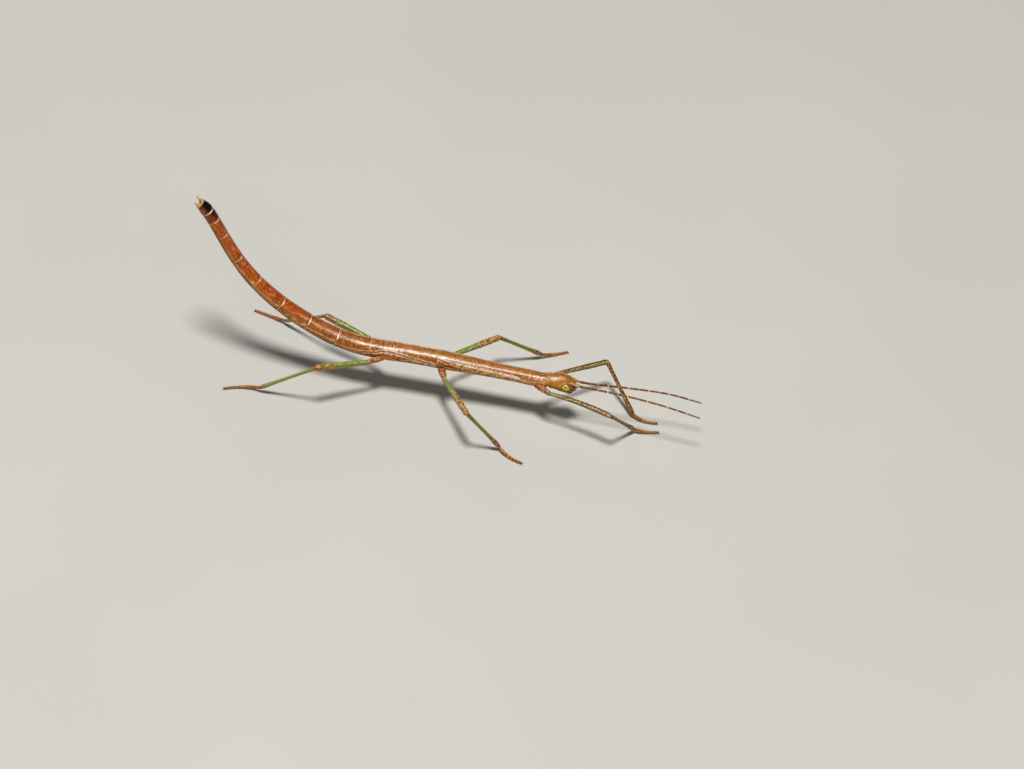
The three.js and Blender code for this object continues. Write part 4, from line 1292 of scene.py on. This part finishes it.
def paint_tarsus():
    p = Paint("tarsus", "sienna", 0.36, 0.6)
    limb = 4.5
    p.lay("ochre", 0.75, p.blotches(0.42, 0.58, 0.8, 3, 1.0, limb))
    p.lay("umber", 0.75, p.blotches(0.5, 0.58, 1.1, 3, 3.0, limb))
    p.lay("cream", 0.6, p.dots(0.3, 0.18, 1.3, limb))
    for end in TARSOMERE_ENDS[:4]:
        p.lay("umber", 0.75, p.band(p.share, end + 0.01, 0.014))
        p.lay("orange", 0.4, p.band(p.share, end - 0.03, 0.02))
    p.lay("white", 0.35, p.rise(p.fold, 0.75, 0.9))
    p.lay("soot", 0.5, p.dots(0.2, 0.08, 9.0), 0.5)
    grain(p, 10.0, 0.008)
    return p.done()


def paint_feeler():
    p = Paint("feeler", "bark", 0.5, 0.25)
    near = p.minus(p.along, FEELER_FIRST_RING)
    whole = p.math("PINGPONG", near, FEELER_RING / 2)
    half = p.math("PINGPONG", p.plus(near, FEELER_RING / 2), FEELER_RING / 2)
    p.lay("ochre", 0.35, p.blotches(0.4, 0.6, 1.8, 3, 1.0))
    p.lay("umber", 0.65, p.blotches(0.5, 0.6, 4.0, 2, 2.0))
    p.lay("cream", 0.6, p.dots(0.3, 0.14, 6.0), p.rise(p.along, 4.5, 3.5))
    p.lay("cream", 0.95, p.rise(whole, 0.12, 0.06), p.rise(p.along, 3.5, 4.5))
    p.lay("cream", 0.6, p.rise(half, 0.1, 0.05), p.rise(p.along, 3.0, 4.0))
    p.lay("smoke", 0.7, p.rise(p.along, 15.3, 16.0))
    grain(p, 9.0, 0.01)
    return p.done()


def paint_scape():
    p = Paint("scape", "tan", 0.42, 0.35)
    p.lay("sand", 0.8, p.blotches(0.44, 0.56, 2.6, 3, 1.0))
    p.lay("umber", 0.8, p.rise(p.fold, 0.42, 0.56))
    p.lay("bark", 0.4, p.blotches(0.48, 0.58, 3.2, 3, 1.0))
    p.lay("cream", 0.6, p.dots(0.34, 0.16, 5.0), p.blotches(0.4, 0.54, 1.8, 2, 4.0))
    p.lay("soot", 0.5, p.dots(0.18, 0.08, 8.0))
    grain(p, 7.0, 0.014)
    return p.done()


def paint_cercus():
    p = Paint("cercus", "gold", 0.4)
    p.lay("blush", 0.4, p.blotches(0.4, 0.62, 2.4, 3, 1.0))
    p.lay("umber", 0.5, p.blotches(0.5, 0.6, 3.4, 3, 4.0))
    p.lay("rust", 0.4, p.rise(p.share, 0.9, 1.0))
    grain(p, 8.0, 0.012)
    return p.done()


def paint_eye():
    p = Paint("eye", "yellow", 0.3, 0.3)
    p.lay("mustard", 0.5, p.blotches(0.45, 0.7, 2.5, 2, 1.0))
    # a dark rim where the eye sinks into its socket, part outline and part painted shade
    p.lay("umber", 0.95, p.rise(p.edge, 0.64, 0.92))  # the edge is 0 at the outward pole
    p.lay("umber", 0.95, p.rise(p.ring, 0.36, 0.16))
    # painted glint near the top of the eye
    p.lay("white", 0.85, p.rise(p.share, 0.44, 0.26))
    for middle in (0.25, -0.25):
        p.lay("umber", 0.3, p.band(p.aside, middle, 0.05), p.rise(p.edge, 0.95, 0.8))
    p.lift(p.rise(p.cells(22.0, randomness=0.35), 0.5, 0.1), 0.004)
    return p.done(coat=0.8, coat_roughness=0.07)


def paint_mouth(name, base):
    p = Paint(name, base, 0.45, 0.2)
    p.lay("mustard", 0.7, p.blotches(0.42, 0.6, 2.6, 3, 1.0))
    p.lay("umber", 0.7, p.blotches(0.5, 0.66, 1.9, 2, 5.0))
    p.lay("cream", 0.5, p.dots(0.22, 0.1, 8.0), 0.7)
    grain(p, 8.0, 0.014)
    return p.done()


def paint_claw(name, base, roughness):
    p = Paint(name, base, roughness)
    p.lay("umber", 0.35 if base != "white" else 0.12, p.blotches(0.4, 0.65, 4.0, 2, 1.0))
    grain(p, 10.0, 0.006)
    return p.done(coat=0.2)


def paint_floor():
    p = Paint("floor", "paper", 0.85, 0.2)
    p.lay("white", 0.1, p.blotches(0.3, 0.7, 0.02, 2, 1.0))
    p.lift(p.noise(1.5, 3), 0.01)
    return p.done()


# ------------------------------------------------------------------ eyes

EYE_ROWS, EYE_SIDES = 40, 64
EYE_FACES_OUT = 95  # degrees from the outward pole at which the dome meets its rim


def eye_shell(sign):
    """A domed eye: rows run from the outward pole round to the socket.

    Its numbers are distances from the dark spot and the glint, and how far round it is from the pole.
    """
    angles = angles_round(EYE_SIDES)
    pole = unit(vec(0.18, sign * 1.0, 0.2))
    aside = unit(np.cross(UP, pole))
    up = np.cross(pole, aside)
    dark_spot = unit(vec(0.06, sign * 0.64, 0.77))
    glint = unit(vec(0.03, sign * 0.1, 0.99))
    rings, places, marks = [], [], []
    for t in np.radians(np.linspace(3, 176, EYE_ROWS)):
        out = np.outer(np.cos(angles) * math.sin(t), up) + np.outer(np.sin(angles) * math.sin(t), aside)
        directions = pole * math.cos(t) + out
        rings.append(beside(EYE["at"], sign) + directions * vec(*EYE["half"]))
        edge = np.full(EYE_SIDES, min(1.0, t / math.radians(EYE_FACES_OUT)))
        near_spot = np.linalg.norm(directions - dark_spot, axis=1)
        near_glint = np.linalg.norm(directions - glint, axis=1)
        places.append(np.stack([near_spot, edge, near_glint], -1))
        marks.append(np.stack([near_spot, edge, directions @ up], -1))
    return Shell(np.array(rings), "eye", np.array(places), np.array(marks))


# ------------------------------------------------------------------ putting it together

# The stage, in metres: the floor's side, the lights' distance, and each light's name, direction,
# size, power and colour.
FLOOR_SIZE, LIGHT_DISTANCE, NEAREST = 4.0, 0.7, 0.05
LIGHTS = (
    ("key", (-0.04, -0.3, 1.2), 0.13, 4.9, (1.0, 0.98, 0.94)),
    ("fill", (0.45, -1.0, 0.22), 0.5, 0.85, (1.0, 0.9, 0.72)),
    ("rim", (-0.5, 1.0, 0.8), 0.4, 0.3, (1.0, 1.0, 1.0)),
)
SKY, SKY_STRENGTH = (0.97, 0.98, 1.0, 1.0), 0.08

SKIN_NODES = ["head"] + [row[0] for row in TRUNK] + ["cercus_left", "cercus_right"]
for feeler_side in FEELERS:
    SKIN_NODES += [f"feeler_scape_{feeler_side}", f"feeler_flagellum_{feeler_side}"]
for leg_pair, leg_side, *_ in LEGS:
    SKIN_NODES += [f"leg_{leg_pair}_{leg_side}_{part}" for part in ("coxa", "femur", "tibia", "tarsus")]


def build():
    MATERIALS.update(
        trunk=paint_trunk(), head=paint_head(), coxa=paint_coxa(), tarsus=paint_tarsus(),
        feeler=paint_feeler(), scape=paint_scape(), cercus=paint_cercus(), eye=paint_eye(),
        mouth=paint_mouth("mouth", "olive"), palp=paint_mouth("palp", "khaki"),
        claw=paint_claw("claw", "soot", 0.25), pad=paint_claw("pad", "white", 0.4),
    )
    for pair in LEG_PAIRS:
        MATERIALS[f"femur_{pair}"] = paint_femur(pair)
        MATERIALS[f"tibia_{pair}"] = paint_tibia(pair)
    shells = [trunk_and_head(), *tail_shells()]
    for side in FEELERS:
        shells += feeler_shells(side)
    feet = {}
    for leg in LEGS:
        points = leg_points(*leg)
        shells += leg_shells(leg[0], points)
        feet[f"leg_{leg[0]}_{leg[1]}_claws"] = points[-2:]
    present(union("skin", shells), "cuticle", *SKIN_NODES)
    for sign, side in ((1, "left"), (-1, "right")):
        present(union(f"eye_{side}_surface", [eye_shell(sign)]), "eye", f"eye_{side}")
    present(union("mouthparts_surface", mouth_shells()), "cuticle", "mouthparts")
    for name, (instep, toe) in feet.items():
        present(union(f"{name}_surface", claw_shells(instep, toe)), "claw", name)


def present(piece, slot, *nodes):
    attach(piece, "root")
    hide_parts(*nodes)


def add_floor():
    bpy.ops.mesh.primitive_plane_add(size=FLOOR_SIZE, location=(0, 0, 0))
    floor = bpy.context.object
    floor.name = "floor"
    floor.data.materials.append(paint_floor())


def add_light(name, towards, size, power, colour):
    data = bpy.data.lights.new(name, "AREA")
    data.shape = "DISK"
    data.size, data.energy, data.color = size, power, colour
    light = bpy.data.objects.new(name, data)
    light.location = Vector(towards).normalized() * LIGHT_DISTANCE
    light.rotation_euler = Vector(towards).to_track_quat("Z", "Y").to_euler()
    bpy.context.scene.collection.objects.link(light)


def add_camera():
    down, turn = math.radians(CAMERA["down"]), math.radians(CAMERA["turn"])
    forward = vec(math.sin(turn) * math.cos(down), math.cos(turn) * math.cos(down), -math.sin(down))
    right = unit(np.cross(forward, UP))
    up = np.cross(right, forward)
    roll = math.radians(CAMERA["roll"])
    x_axis = math.cos(roll) * right + math.sin(roll) * up
    y_axis = -math.sin(roll) * right + math.cos(roll) * up
    place = vec(*CAMERA["aim"]) - forward * CAMERA["distance"]
    data = bpy.data.cameras.new("camera")
    data.lens, data.sensor_width, data.clip_start = CAMERA["lens"], CAMERA["sensor"], NEAREST
    camera = bpy.data.objects.new("camera", data)
    bpy.context.scene.collection.objects.link(camera)
    matrix = Matrix([[*row] for row in np.stack([x_axis, y_axis, -forward], 1)]).to_4x4()
    matrix.translation = Vector((place + SHIFT) * MM)
    camera.matrix_world = matrix
    bpy.context.scene.camera = camera


def add_world():
    world = bpy.data.worlds.new("world")
    bpy.context.scene.world = world
    world.use_nodes = True
    background = world.node_tree.nodes["Background"]
    background.inputs["Color"].default_value = SKY
    background.inputs["Strength"].default_value = SKY_STRENGTH


build()
add_floor()
add_camera()
for light in LIGHTS:
    add_light(*light)
add_world()
bpy.context.scene.view_settings.view_transform = "Standard"
